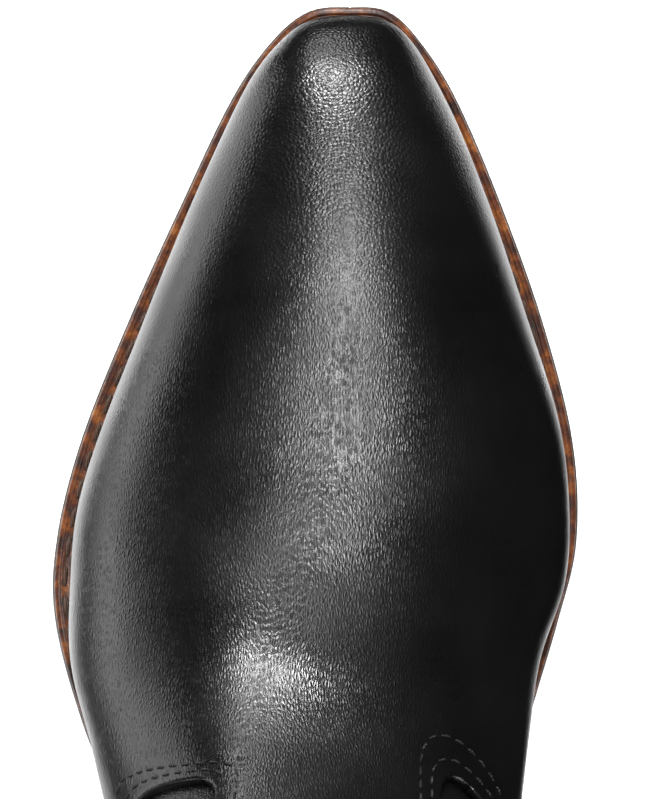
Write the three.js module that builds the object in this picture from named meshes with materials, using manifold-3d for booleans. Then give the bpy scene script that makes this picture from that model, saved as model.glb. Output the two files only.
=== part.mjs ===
// A left cowboy boot in millimetres: +Z up, toe towards -Y, outer side of the foot towards +X.
// The origin is the centre of the heel cap's underside. Leather pieces are thick patches of one boot
// surface, and every layer keeps its own depth below that surface.
import * as THREE from 'three';
import { mergeVertices } from 'three/addons/utils/BufferGeometryUtils.js';
import Module from 'manifold-3d';

// Driving dimensions
const SOLE_LENGTH = 271.8;
const BALL_WIDTH = 98.9;
const HEEL_HEIGHT = 38;
const SHAFT_RISE = 264;
const TOE_SPRING = 11;
const SCALLOP_DEPTH = 34;

const OUTSOLE_THICKNESS = 5;
const WELT_THICKNESS = 3;
const WELT_STRIP = 9;
const INSOLE_THICKNESS = 3;
const SOCK_THICKNESS = 1.4;
const SHANK_WIDTH = 16;
const SHANK_THICKNESS = 2;

const OUTER_LEATHER = 1.6;
const MIDDLE_LEATHER = 1.4;
const LINING_LEATHER = 1.2;
const LAYER_GAP = 0.5;
const FIT_GAP = 0.3;

const HEEL_BASE_LENGTH = 50;
const HEEL_BASE_WIDTH = 50;
const HEEL_CAP_THICKNESS = 6;
const HEEL_LIFTS = 5;
const PEG_SIZE = 2.2;
const PEGS_PER_SIDE = 5;
const NAIL_DIAMETER = 2.4;

const THREAD_RADIUS = 0.4;
const WELT_STITCH_INSET = 1.1;
const PIPING_RADIUS = 1.2;
const BINDING_DEPTH = 9;
const BINDING_THICKNESS = 1;
const BINDING_GAP = 0.6;
const SEAM_GAP = 0.9;

const STRAP_WIDTH = 28;
const STRAP_THICKNESS = 2.4;
const STRAP_OUTER_LEG = 46;
const STRAP_INNER_LEG = 30;
const LOOP_HEIGHT = 34;
const LOOP_BULGE = 7;
const LOOP_HINGE_GAP = 2.8;

// The outlines below are drawn for this length and ball width, and stretched to the driving sizes.
const DRAWN_LENGTH = 271.8;
const DRAWN_BALL_WIDTH = 98.9;
const DRAWN_SHAFT_RISE = 264;
const along = (y) => y * SOLE_LENGTH / DRAWN_LENGTH;
const across = (x) => x * BALL_WIDTH / DRAWN_BALL_WIDTH;

const TOE_Y = along(-235.5);
const TREAD_Y = along(-145);
const WAIST_START_Y = along(-138);
const BREAST_Y = along(-30);
const SEAT_START_Y = along(-26);
const HEEL_BACK_Y = along(36.3);
const SEAT_SLOPE = 0.03;
const TOE_SPRING_POWER = 1.8;

// Depths of the three leather layers, measured inwards from the boot surface.
const OUTER = [0, -OUTER_LEATHER];
const MIDDLE = [OUTER[1] - LAYER_GAP, OUTER[1] - LAYER_GAP - MIDDLE_LEATHER];
const INNER = [MIDDLE[1] - LAYER_GAP, MIDDLE[1] - LAYER_GAP - LINING_LEATHER];
const UPPER_DEPTH = -INNER[1];

const wasm = await Module();
wasm.setup();

const smoothstep = (t) => {
  const c = Math.min(1, Math.max(0, t));
  return c * c * (3 - 2 * c);
};

// Catmull-Rom through rows of numbers: p counts rows, and the first and last rows only steer the ends.
function throughRows(rows, p) {
  const i = Math.min(rows.length - 3, Math.max(1, Math.floor(p)));
  const t = p - i;
  return rows[i].map((b, n) => {
    const [a, c, d] = [rows[i - 1][n], rows[i + 1][n], rows[i + 2][n]];
    return b + 0.5 * t * (c - a + t * (2 * a - 5 * b + 4 * c - d + t * (3 * (b - c) + d - a)));
  });
}

// Height of the sole's underside: toe spring, flat tread, waist, then the gently rising heel seat.
function undersideZ(y) {
  if (y < TREAD_Y) {
    return TOE_SPRING * Math.min(1.2, (TREAD_Y - y) / (TREAD_Y - TOE_Y)) ** TOE_SPRING_POWER;
  }
  const waist = HEEL_HEIGHT * smoothstep((y - WAIST_START_Y) / (SEAT_START_Y - WAIST_START_Y));
  return waist + SEAT_SLOPE * Math.max(0, y - SEAT_START_Y);
}

const OUTSOLE_TOP = OUTSOLE_THICKNESS;
const WELT_BASE = OUTSOLE_TOP + FIT_GAP;
const WELT_TOP = WELT_BASE + WELT_THICKNESS;
const FEATHER = WELT_TOP + FIT_GAP;

// The feather line is where the upper meets the welt.
const featherZ = (y) => undersideZ(y) + FEATHER;

// The boot surface: one row for each cross-section, from the toe to above the topline. A section runs in
// a plane from its foot (underside or back of the heel) to the ridge (top or front of the leg).
// footY, footRise, ridgeY, ridgeRise, lateralX, medialX, ridgeX, widest, footPower, ridgePower
const SECTIONS = [
  [-232.4, 2.2, -232.4, -6.2, -10.3, 3.8, -3.6, 0.46, 3.0, 2.2],
  [-233.4, 0.0, -233.4, 0.0, -3.3, -3.3, -3.3, 0.46, 3.0, 2.2],
  [-232.4, -2.2, -232.4, 6.2, 3.8, -10.3, -3.0, 0.46, 3.0, 2.2],
  [-229.0, -4.5, -229.0, 13.2, 8.8, -14.6, -0.5, 0.46, 3.0, 2.2],
  [-222.4, -7.0, -222.4, 20.5, 14.3, -18.9, 0.3, 0.46, 3.0, 2.2],
  [-211.0, -9.0, -211.0, 26.7, 20.2, -24.6, -0.8, 0.45, 3.0, 2.15],
  [-195.8, -10.0, -195.8, 32.0, 26.9, -30.7, -2.6, 0.43, 3.0, 2.1],
  [-177.0, -10.0, -177.0, 36.5, 34.7, -36.9, -3.0, 0.41, 3.0, 2.1],
  [-158.0, -10.0, -158.0, 40.7, 42.2, -42.6, -1.4, 0.395, 3.0, 2.05],
  [-142.0, -10.0, -142.0, 44.4, 47.0, -44.6, 2.5, 0.385, 3.0, 2.0],
  [-127.7, -10.0, -127.7, 47.6, 48.4, -43.9, 9.0, 0.39, 2.9, 1.9],
  [-112.5, -10.0, -114.0, 49.8, 48.0, -38.9, 13.0, 0.415, 2.7, 1.78],
  [-92.0, -10.0, -103.0, 49.6, 43.2, -36.0, 15.5, 0.5, 2.3, 1.72],
  [-65.0, -10.0, -93.0, 47.6, 38.5, -33.8, 16.0, 0.5, 2.1, 1.72],
  [-35.0, -10.0, -86.0, 47.2, 36.0, -33.5, 15.0, 0.5, 2.2, 1.78],
  [-5.0, -10.0, -80.5, 55.8, 34.5, -33.5, 12.5, 0.5, 2.8, 1.85],
  [20.0, -10.0, -77.0, 64.0, 34.5, -34.0, 9.0, 0.5, 2.6, 1.92],
  [34.0, -2.4, -74.5, 72.6, 35.5, -35.5, 6.0, 0.5, 2.3, 1.97],
  [38.0, 17.6, -72.5, 83.6, 36.5, -36.5, 3.0, 0.5, 2.1, 2.0],
  [35.5, 46.6, -71.0, 98.6, 37.0, -37.0, 1.2, 0.5, 2.0, 2.0],
  [34.0, 81.6, -70.5, 116.6, 38.0, -38.0, 0.0, 0.5, 2.0, 2.0],
  [36.0, 126.6, -72.0, 141.6, 41.0, -41.0, 0.0, 0.5, 2.0, 2.05],
  [39.0, 191.6, -77.0, 191.6, 46.5, -46.5, 0.0, 0.5, 2.05, 2.05],
  [42.0, 264.0, -84.0, 264.0, 52.5, -52.5, 0.0, 0.5, 2.1, 2.1],
  [44.0, 312.0, -87.5, 312.0, 55.5, -55.5, 0.0, 0.5, 2.1, 2.1],
  [45.0, 360.0, -90.0, 360.0, 58.0, -58.0, 0.0, 0.5, 2.1, 2.1],
];
const FIRST_SECTION = 1;
const ANKLE_SECTION = 19;
const LAST_SECTION = SECTIONS.length - 2;
const ANKLE_RISE = 46.6;

// Above the ankle, a rise is stretched with the shaft.
function stretchedRise(rise) {
  if (rise <= ANKLE_RISE) return rise;
  return ANKLE_RISE + (rise - ANKLE_RISE) * (SHAFT_RISE - ANKLE_RISE) / (DRAWN_SHAFT_RISE - ANKLE_RISE);
}

const SIZED_SECTIONS = SECTIONS.map((row, n) => {
  const [footY, footRise, ridgeY, ridgeRise, lateral, medial, ridgeX, ...shape] = row;
  const base = featherZ(Math.min(along(footY), HEEL_BACK_Y));
  const rise = n > ANKLE_SECTION ? stretchedRise : (r) => r;
  return [along(footY), base + rise(footRise), along(ridgeY), base + rise(ridgeRise),
    across(lateral), across(medial), across(ridgeX), ...shape];
});

// Point of the boot surface: k picks the section, turn goes round it from the ridge (0) by the outer
// side (+90 degrees) or the inner side (-90 degrees) to the foot (180 degrees).
function surfacePoint(k, turn) {
  const [footY, footZ, ridgeY, ridgeZ, lateral, medial, ridgeX, widest, footPower, ridgePower] =
    throughRows(SIZED_SECTIONS, k + FIRST_SECTION);
  const c = Math.cos(turn);
  const s = Math.sin(turn);
  const power = c > 0 ? ridgePower : footPower;
  const r = (Math.abs(c) ** power + Math.abs(s) ** power) ** (-1 / power);
  const share = widest + r * c * (c > 0 ? 1 - widest : widest);
  const middle = c > 0 ? ridgeX : (lateral + medial) / 2;
  const side = s > 0 ? lateral : medial;
  return new THREE.Vector3(
    middle + (side - middle) * Math.abs(r * s),
    footY + (ridgeY - footY) * share,
    footZ + (ridgeZ - footZ) * share,
  );
}

const STEP = 0.02;

// The same point moved along the outward normal by depth (negative goes into the leather).
function layerPoint(k, turn, depth) {
  const kk = Math.max(k, STEP * 2);
  const towardsTop = surfacePoint(kk + STEP, turn).sub(surfacePoint(kk - STEP, turn));
  const towardsBack = surfacePoint(kk, turn + STEP).sub(surfacePoint(kk, turn - STEP));
  const normal = towardsBack.cross(towardsTop).normalize();
  return surfacePoint(k, turn).addScaledVector(normal, depth);
}

// A solid from triangles that index a list of points.
function solid(points, triangles) {
  const geometry = new THREE.BufferGeometry();
  const numbers = points.flatMap((p) => [p.x, p.y, p.z]);
  geometry.setAttribute('position', new THREE.Float32BufferAttribute(numbers, 3));
  geometry.setIndex(triangles.flat());
  return geometry;
}

// A cut never comes closer than this share of a cell to a grid corner.
const SLIVER = 0.03;

// A thick patch of the boot surface: the part of the (k, turn) grid where outside(point, k, turn) is
// negative, between two depths.
function leatherPatch(outside, [topDepth, bottomDepth], [k0, k1, kCells], [turn0, turn1, turnCells]) {
  const corners = [];
  for (let i = 0; i <= kCells; i++) {
    for (let j = 0; j <= turnCells; j++) {
      const k = k0 + (k1 - k0) * i / kCells;
      const turn = turn0 + (turn1 - turn0) * j / turnCells;
      corners.push({ k, turn, value: outside(surfacePoint(k, turn), k, turn) });
    }
  }
  const cuts = new Map();
  const cornerAt = (i, j) => i * (turnCells + 1) + j;
  const cutBetween = (a, b) => {
    const key = a < b ? `${a},${b}` : `${b},${a}`;
    if (!cuts.has(key)) {
      let [low, high] = [0, 1];
      const at = (f) => ({
        k: corners[a].k + (corners[b].k - corners[a].k) * f,
        turn: corners[a].turn + (corners[b].turn - corners[a].turn) * f,
      });
      for (let n = 0; n < 30; n++) {
        const middle = (low + high) / 2;
        const { k, turn } = at(middle);
        const sameSide = (outside(surfacePoint(k, turn), k, turn) < 0) === (corners[a].value < 0);
        if (sameSide) low = middle;
        else high = middle;
      }
      corners.push({ ...at(Math.min(1 - SLIVER, Math.max(SLIVER, low))), value: 0 });
      cuts.set(key, corners.length - 1);
    }
    return cuts.get(key);
  };
  const faces = [];
  for (let i = 0; i < kCells; i++) {
    for (let j = 0; j < turnCells; j++) {
      const ring = [cornerAt(i, j), cornerAt(i, j + 1), cornerAt(i + 1, j + 1), cornerAt(i + 1, j)];
      const kept = [];
      ring.forEach((a, n) => {
        const b = ring[(n + 1) % ring.length];
        if (corners[a].value < 0) kept.push(a);
        if ((corners[a].value < 0) !== (corners[b].value < 0)) kept.push(cutBetween(a, b));
      });
      for (let n = 1; n + 1 < kept.length; n++) faces.push([kept[0], kept[n], kept[n + 1]]);
    }
  }
  const used = [...new Set(faces.flat())];
  const place = new Map(used.map((corner, n) => [corner, n]));
  const top = used.map((n) => layerPoint(corners[n].k, corners[n].turn, topDepth));
  const bottom = used.map((n) => layerPoint(corners[n].k, corners[n].turn, bottomDepth));
  const edges = new Set(faces.flatMap(([a, b, c]) => [`${a},${b}`, `${b},${c}`, `${c},${a}`]));
  const triangles = [];
  for (const face of faces) {
    const [a, b, c] = face.map((n) => place.get(n));
    triangles.push([a, b, c], [c + used.length, b + used.length, a + used.length]);
    face.forEach((from, n) => {
      const to = face[(n + 1) % 3];
      if (edges.has(`${to},${from}`)) return;
      const [f, t] = [place.get(from), place.get(to)];
      triangles.push([t, f, f + used.length], [t, f + used.length, t + used.length]);
    });
  }
  return solid([...top, ...bottom], triangles);
}

// A bar swept along rings of points: each ring is one cross-section, and the ends are closed flat.
function sweptBar(rings, closed = false) {
  const size = rings[0].length;
  const triangles = [];
  const ringCount = rings.length;
  for (let i = 0; i < (closed ? ringCount : ringCount - 1); i++) {
    for (let j = 0; j < size; j++) {
      const a = i * size + j;
      const b = i * size + (j + 1) % size;
      const c = ((i + 1) % ringCount) * size + (j + 1) % size;
      const d = ((i + 1) % ringCount) * size + j;
      triangles.push([a, b, c], [a, c, d]);
    }
  }
  if (!closed) {
    const last = (ringCount - 1) * size;
    for (let j = 1; j + 1 < size; j++) {
      triangles.push([0, j + 1, j], [last, last + j, last + j + 1]);
    }
  }
  return solid(rings.flat(), triangles);
}

// Turns a solid's faces outwards where its rings happened to run the other way.
function facingOut(geometry) {
  const p = geometry.attributes.position;
  const index = geometry.index.array;
  const [a, b, c] = [new THREE.Vector3(), new THREE.Vector3(), new THREE.Vector3()];
  let volume = 0;
  for (let i = 0; i < index.length; i += 3) {
    a.fromBufferAttribute(p, index[i]);
    b.fromBufferAttribute(p, index[i + 1]);
    c.fromBufferAttribute(p, index[i + 2]);
    volume += a.dot(b.cross(c));
  }
  if (volume < 0) {
    for (let i = 0; i < index.length; i += 3) {
      [index[i + 1], index[i + 2]] = [index[i + 2], index[i + 1]];
    }
  }
  return geometry;
}

// Outline of the sole from the toe to the back of the heel: y, outer side x, inner side x.
const SOLE_OUTLINE = [
  [-234.7, -10.9, 3.9],
  [-235.5, -3.8, -3.8],
  [-234.7, 3.9, -10.9],
  [-229.3, 10.8, -16.8],
  [-218.6, 18.4, -23.7],
  [-199.6, 27.7, -32.0],
  [-176.9, 38.1, -40.2],
  [-154.2, 47.2, -46.0],
  [-135.2, 51.9, -46.8],
  [-120.1, 52.0, -43.2],
  [-101.0, 46.5, -37.2],
  [-80.0, 37.5, -31.3],
  [-58.0, 31.8, -28.8],
  [-32.0, 31.0, -30.0],
  [-10.0, 31.4, -31.0],
  [10.0, 29.6, -29.4],
  [27.0, 20.6, -20.6],
  [36.3, 0.0, 0.0],
  [27.0, -20.6, 20.6],
];
const OUTLINE_ROWS = SOLE_OUTLINE.length - 3;
const SIZED_OUTLINE = SOLE_OUTLINE.map(
  ([y, lateral, medial]) => [along(y), across(lateral), across(medial)]);

// Point of the sole's edge: p runs from the toe (0) to the back of the heel (OUTLINE_ROWS), side is 1
// for the outer side of the foot and -1 for the inner side, and inset moves it inwards.
function solePoint(side, p, inset = 0) {
  const at = (q) => {
    const [y, lateral, medial] = throughRows(SIZED_OUTLINE, q + 1);
    return new THREE.Vector2(side > 0 ? lateral : medial, y);
  };
  const ahead = at(p + STEP).sub(at(p - STEP)).normalize();
  const inwards = new THREE.Vector2(-ahead.y, ahead.x).multiplyScalar(side);
  return at(p).addScaledVector(inwards, inset);
}

// The place along the outline where the sole reaches y.
function outlineStation(y) {
  let [low, high] = [1, OUTLINE_ROWS - 1];
  for (let n = 0; n < 30; n++) {
    const middle = (low + high) / 2;
    if (solePoint(1, middle).y < y) low = middle;
    else high = middle;
  }
  return low;
}
const BREAST_STATION = outlineStation(BREAST_Y);

// A sheet under the foot: rows of [outer side point, inner side point], between two heights over the
// sole's underside.
function footSheet(rows, lowRise, highRise) {
  const lift = (p, rise) => new THREE.Vector3(p.x, p.y, undersideZ(p.y) + rise);
  const rings = rows.map(([lateral, medial]) => [
    lift(lateral, lowRise), lift(medial, lowRise), lift(medial, highRise), lift(lateral, highRise),
  ]);
  return facingOut(sweptBar(rings));
}

// A strip that follows the sole's edge through a list of [side, station] stops.
function edgeStrip(stops, insets, rises) {
  const rings = stops.map(([side, p]) => {
    const [outer, inner] = insets.map((inset) => solePoint(side, p, inset));
    const lift = (q, rise) => new THREE.Vector3(q.x, q.y, undersideZ(q.y) + rise);
    return [lift(outer, rises[0]), lift(inner, rises[0]), lift(inner, rises[1]), lift(outer, rises[1])];
  });
  return facingOut(sweptBar(rings));
}

const range = (count) => Array.from({ length: count }, (_, i) => i);

// Stops from the outer breast corner round the toe to the inner breast corner, evenly along the edge.
function stopsRoundToe(count) {
  return range(2 * count + 1).map((i) => {
    const fromToe = (i - count) / count;
    return [fromToe < 0 ? 1 : -1, BREAST_STATION * Math.abs(fromToe)];
  });
}

// Stops from just behind the outer breast corner round the back of the heel to the inner side.
function stopsRoundHeel(count) {
  const start = outlineStation(BREAST_Y + FIT_GAP);
  return range(2 * count + 1).map((i) => {
    const fromBack = (i - count) / count;
    return [fromBack < 0 ? 1 : -1, OUTLINE_ROWS - (OUTLINE_ROWS - start) * Math.abs(fromBack)];
  });
}

function outsoleShape() {
  const rows = range(37).map((i) => {
    const p = 0.1 + (OUTLINE_ROWS - 0.2) * i / 36;
    return [solePoint(1, p), solePoint(-1, p)];
  });
  return footSheet(rows, 0, OUTSOLE_TOP);
}

const weltShape = () => edgeStrip(stopsRoundToe(28), [0, WELT_STRIP], [WELT_BASE, WELT_TOP]);
const randShape = () => edgeStrip(stopsRoundHeel(10), [0, WELT_STRIP], [WELT_BASE, WELT_TOP]);

// The lockstitch thread lies along the welt just outside the upper.
function weltThreadShape() {
  const sides = 5;
  const rings = stopsRoundToe(32).slice(5, -5).map(([side, p]) => {
    const centre = solePoint(side, p, WELT_STITCH_INSET);
    const out = solePoint(side, p, WELT_STITCH_INSET - 1).sub(centre);
    const z = undersideZ(centre.y) + WELT_TOP + FIT_GAP + THREAD_RADIUS;
    return range(sides).map((n) => {
      const angle = 2 * Math.PI * n / sides;
      const reach = THREAD_RADIUS * Math.cos(angle);
      return new THREE.Vector3(centre.x + out.x * reach, centre.y + out.y * reach,
        z + THREAD_RADIUS * Math.sin(angle));
    });
  });
  return facingOut(sweptBar(rings));
}

const FILLER_END_Y = along(-116);
const SHANK_START_Y = along(-112);
const SHANK_END_Y = along(6);

function corkFillerShape() {
  const end = outlineStation(FILLER_END_Y);
  const rows = range(17).map((i) => {
    const p = 1.4 + (end - 1.4) * i / 16;
    return [solePoint(1, p, WELT_STRIP + FIT_GAP), solePoint(-1, p, WELT_STRIP + FIT_GAP)];
  });
  return footSheet(rows, WELT_BASE, WELT_TOP - FIT_GAP);
}

function shankShape() {
  const rows = range(15).map((i) => {
    const y = SHANK_START_Y + (SHANK_END_Y - SHANK_START_Y) * i / 14;
    return [new THREE.Vector2(SHANK_WIDTH / 2, y), new THREE.Vector2(-SHANK_WIDTH / 2, y)];
  });
  return footSheet(rows, WELT_BASE, WELT_BASE + SHANK_THICKNESS);
}

// How far round a section the upper reaches before it meets the feather line.
function featherTurn(side, k) {
  const above = (turn) => {
    const p = surfacePoint(k, side * turn);
    return p.z - featherZ(p.y);
  };
  let [low, high] = [Math.PI / 2, Math.PI];
  if (above(high) > 0) return side * high;
  for (let n = 0; n < 30; n++) {
    const middle = (low + high) / 2;
    if (above(middle) > 0) low = middle;
    else high = middle;
  }
  return side * low;
}

// The section at which the back of the heel meets the feather line; it lies between these two.
const HEEL_BACK_SECTIONS = [14, 17];
function backSection() {
  let [low, high] = HEEL_BACK_SECTIONS;
  for (let n = 0; n < 30; n++) {
    const middle = (low + high) / 2;
    const p = surfacePoint(middle, Math.PI);
    if (p.z < featherZ(p.y)) low = middle;
    else high = middle;
  }
  return low;
}

// Rows for the sheets inside the upper, which stop short of its lining at the toe and at the sides.
const INSIDE_START = 0.35;
const INSIDE_ROWS = 28;
function insideRows(clearance, count) {
  const [from, to] = [INSIDE_START, backSection() - STEP];
  return range(count + 1).map((i) => {
    const k = from + (to - from) * i / count;
    return [1, -1].map((side) => layerPoint(k, featherTurn(side, k), -UPPER_DEPTH - clearance));
  });
}
const INSOLE_BASE = FEATHER + FIT_GAP;
const insoleShape = () => footSheet(
  insideRows(LAYER_GAP, INSIDE_ROWS), INSOLE_BASE, INSOLE_BASE + INSOLE_THICKNESS);

function sockLinerShape() {
  const base = INSOLE_BASE + INSOLE_THICKNESS + FIT_GAP;
  return footSheet(insideRows(LAYER_GAP + FIT_GAP, INSIDE_ROWS), base, base + SOCK_THICKNESS);
}

// Where each leather piece ends: the functions are negative inside the piece, in millimetres.
const VAMP_END_Y = along(-61);
const MEDIAL_DIP_Y = along(-101);
const LATERAL_DIP_Y = along(-93);
const DIP_BLEND = 8;
const VAMP_SIDE_RISE = 24;
const DIP_RISE = 9.5;
const DIP_REACH = 5;
const TONGUE_TIP_RISE = 96;
const TONGUE_THROAT = across(20);
const TONGUE_WIDEST = across(24);
const DIP_ROUNDING = 5;
const VAMP_LAP = 9;
const LAP_GAP = 1.4;
const PANEL_GAP = 0.8;
const COUNTER_LAP = 6;
const VAMP_TOP_BASE = featherZ(VAMP_END_Y);

const upFromFeather = (p) => featherZ(p.y) - p.z;

// Smooth union of two regions.
function join(a, b, rounding) {
  const h = Math.max(0, rounding - Math.abs(a - b)) / rounding;
  return Math.min(a, b) - h * h * rounding / 4;
}

// The vamp's edge dips deeper on the inner side of the foot than on the outer side.
function overVampSide(p, lap = 0) {
  const outward = (1 + Math.tanh(p.x / DIP_BLEND)) / 2;
  const dipY = MEDIAL_DIP_Y + (LATERAL_DIP_Y - MEDIAL_DIP_Y) * outward;
  const climb = DIP_RISE * Math.exp((dipY - p.y) / DIP_REACH);
  const slope = 1 + climb / DIP_REACH;
  return (p.z - VAMP_TOP_BASE - VAMP_SIDE_RISE - climb) / Math.min(3, slope) + lap;
}

function outsideTongue(p) {
  const rise = (p.z - VAMP_TOP_BASE) / TONGUE_TIP_RISE;
  const swell = TONGUE_THROAT + (TONGUE_WIDEST - TONGUE_THROAT) * smoothstep((rise - 0.4) / 0.35);
  const width = swell * Math.sqrt(Math.max(0, 1 - Math.max(0, (rise - 0.55) / 0.45) ** 1.7));
  const inFront = p.y - along(-40);
  return Math.max(Math.abs(p.x) - width, (rise - 1) * TONGUE_TIP_RISE, inFront);
}

const outsideVampTop = (p) => join(overVampSide(p), outsideTongue(p), DIP_ROUNDING);
const behindVamp = (p) => p.y - VAMP_END_Y;

const INTERLINING_FRONT_Y = along(-112);
const overInterlining = (p) => join(overVampSide(p, VAMP_LAP), p.y - INTERLINING_FRONT_Y, 2);

const COUNTER_BACK_RISE = 64;
const COUNTER_SIDE_RISE = 24;
const COUNTER_SWEEP = 2.2;
function overCounter(p, lap = 0) {
  const reach = Math.max(0, (p.y - VAMP_END_Y) / (HEEL_BACK_Y - VAMP_END_Y));
  const climb = (COUNTER_BACK_RISE - COUNTER_SIDE_RISE) * reach ** COUNTER_SWEEP;
  return p.z - (VAMP_TOP_BASE + COUNTER_SIDE_RISE + climb) + lap;
}

const SEAM_Y = along(-18);
const SEAM_SWEEP = 14;
const SEAM_BEND_RISE = 52;
const seamY = (z) => SEAM_Y - SEAM_SWEEP * smoothstep((VAMP_TOP_BASE + SEAM_BEND_RISE + 10 - z) / 50);
const behindSeam = (p) => p.y - seamY(p.z);

const TOP_Z = featherZ(HEEL_BACK_Y) + SHAFT_RISE - 4;
function topline(turn) {
  const dip = (1 - Math.abs(Math.sin(turn))) ** 1.2;
  const side = Math.exp(-(((Math.abs(Math.sin(turn)) - 1) / 0.12) ** 2));
  return TOP_Z - SCALLOP_DEPTH * dip - 3 * side;
}
const overTopline = (p, turn) => p.z - topline(turn);

// The section at which the surface reaches the topline at this turn.
function toplineSection(turn) {
  let [low, high] = [ANKLE_SECTION - 1, LAST_SECTION - FIRST_SECTION];
  for (let n = 0; n < 30; n++) {
    const middle = (low + high) / 2;
    if (surfacePoint(middle, turn).z < topline(turn)) low = middle;
    else high = middle;
  }
  return low;
}

// The leg's pieces share one set of columns round the leg: the front ones reach past the side
// seams, and so do the back ones.
const TURN = Math.PI;
const HALF_COLUMNS = 15;
const COLUMN = TURN / HALF_COLUMNS;
const FRONT_REACH = 11;
const BACK_START = 4;
const BACK_CELLS = 2 * (HALF_COLUMNS - BACK_START);
const FRONT_COLUMNS = [-FRONT_REACH * COLUMN, FRONT_REACH * COLUMN, 2 * FRONT_REACH];
const BACK_COLUMNS = [BACK_START * COLUMN, (BACK_START + BACK_CELLS) * COLUMN, BACK_CELLS];
const PUFF_END_Y = along(-192);
const STIFFENER_FRONT_Y = along(-46);
const LINING_SPLIT = 12;
const TOP_K = LAST_SECTION - FIRST_SECTION - 0.3;

// The stiffener and the vamp lining lie close to their neighbours, so in a longer boot they get
// more cells, which keeps their flat faces as near the true curve.
const GROWTH = Math.max(1, SOLE_LENGTH / DRAWN_LENGTH);
const cells = (count) => Math.ceil(count * GROWTH);
const VAMP_SECTIONS = [0.12, 18.12, 36];
const PUFF_SECTIONS = [0.3, 6, 12];
const INTERLINING_SECTIONS = [4.8, 13.2, 14];
const COUNTER_SECTIONS = [11.2, 18.2, 14];
const STIFFENER_SECTIONS = [11.8, 18, cells(10)];
const SHAFT_FRONT_SECTIONS = [9.5, TOP_K, 18];
const SHAFT_BACK_SECTIONS = [12.5, TOP_K, 15];
const VAMP_LINING_SECTIONS = [0.5, 12.6, cells(16)];
const LEG_LINING_SECTIONS = [11.5, TOP_K, 14];
const VAMP_COLUMNS = [-2.45, 2.45, 22];
const PUFF_COLUMNS = [-2.3, 2.3, 16];
const LINING_COLUMNS = [-2.5, 2.5, cells(16)];
const COUNTER_COLUMNS = [1, 2 * TURN - 1, 26];
const STIFFENER_COLUMNS = [1.1, 2 * TURN - 1.1, cells(22)];

const insideVamp = (p) => Math.max(upFromFeather(p), outsideVampTop(p), behindVamp(p));
const vampShape = () => leatherPatch(insideVamp, OUTER, VAMP_SECTIONS, VAMP_COLUMNS);

const insideCounter = (p) => Math.max(upFromFeather(p), PANEL_GAP - behindVamp(p), overCounter(p));
const counterCoverShape = () => leatherPatch(insideCounter, OUTER, COUNTER_SECTIONS, COUNTER_COLUMNS);

const insidePuff = (p) => Math.max(upFromFeather(p), p.y - PUFF_END_Y);
const toePuffShape = () => leatherPatch(insidePuff, MIDDLE, PUFF_SECTIONS, PUFF_COLUMNS);

const insideInterlining = (p) => Math.max(
  upFromFeather(p), PUFF_END_Y + LAP_GAP - p.y, overInterlining(p), behindVamp(p));
const interliningShape = () => leatherPatch(insideInterlining, MIDDLE, INTERLINING_SECTIONS, FRONT_COLUMNS);

const insideStiffener = (p) => Math.max(
  upFromFeather(p), STIFFENER_FRONT_Y - p.y, overCounter(p, COUNTER_LAP));
const stiffenerShape = () => leatherPatch(insideStiffener, MIDDLE, STIFFENER_SECTIONS, STIFFENER_COLUMNS);

const aheadOfSeam = (p) => behindSeam(p) + SEAM_GAP / 2;
const beyondSeam = (p) => SEAM_GAP / 2 - behindSeam(p);
const aboveCounter = (p) => LAP_GAP - overCounter(p, COUNTER_LAP);

const insideShaftFront = (p, k, turn) => Math.max(
  LAP_GAP - overInterlining(p), aboveCounter(p), aheadOfSeam(p), overTopline(p, turn));
const shaftFrontShape = () => leatherPatch(insideShaftFront, MIDDLE, SHAFT_FRONT_SECTIONS, FRONT_COLUMNS);

const insideShaftBack = (p, k, turn) => Math.max(aboveCounter(p), beyondSeam(p), overTopline(p, turn));
const shaftBackShape = () => leatherPatch(insideShaftBack, MIDDLE, SHAFT_BACK_SECTIONS, BACK_COLUMNS);

const LINING_SPLIT_GAP = 0.06;
const insideVampLining = (p, k) => Math.max(upFromFeather(p), k - LINING_SPLIT);
const vampLiningShape = () => leatherPatch(insideVampLining, INNER, VAMP_LINING_SECTIONS, LINING_COLUMNS);

const behindSplit = (p, k) => Math.max(upFromFeather(p), LINING_SPLIT + LINING_SPLIT_GAP - k);
const insideLiningFront = (p, k, turn) => Math.max(behindSplit(p, k), aheadOfSeam(p), overTopline(p, turn));
const liningFrontShape = () => leatherPatch(insideLiningFront, INNER, LEG_LINING_SECTIONS, FRONT_COLUMNS);

const insideLiningBack = (p, k, turn) => Math.max(behindSplit(p, k), beyondSeam(p), overTopline(p, turn));
const liningBackShape = () => leatherPatch(insideLiningBack, INNER, LEG_LINING_SECTIONS, BACK_COLUMNS);

// The binding folds over the top edge of the shaft and its lining.
function bindingShape() {
  const outside = MIDDLE[0] + FIT_GAP;
  const inside = INNER[1] - FIT_GAP;
  const profile = [
    [outside, -BINDING_DEPTH], [outside + BINDING_THICKNESS, -BINDING_DEPTH],
    [outside + BINDING_THICKNESS, BINDING_GAP + BINDING_THICKNESS],
    [inside - BINDING_THICKNESS, BINDING_GAP + BINDING_THICKNESS],
    [inside - BINDING_THICKNESS, -BINDING_DEPTH], [inside, -BINDING_DEPTH],
    [inside, BINDING_GAP], [outside, BINDING_GAP],
  ];
  const rings = range(2 * HALF_COLUMNS).map((i) => {
    const turn = COLUMN * i;
    const k = toplineSection(turn);
    const climb = surfacePoint(k + STEP, turn).distanceTo(surfacePoint(k - STEP, turn)) / (2 * STEP);
    return profile.map(([depth, height]) => layerPoint(k + height / climb, turn, depth));
  });
  return facingOut(sweptBar(rings, true));
}

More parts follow.
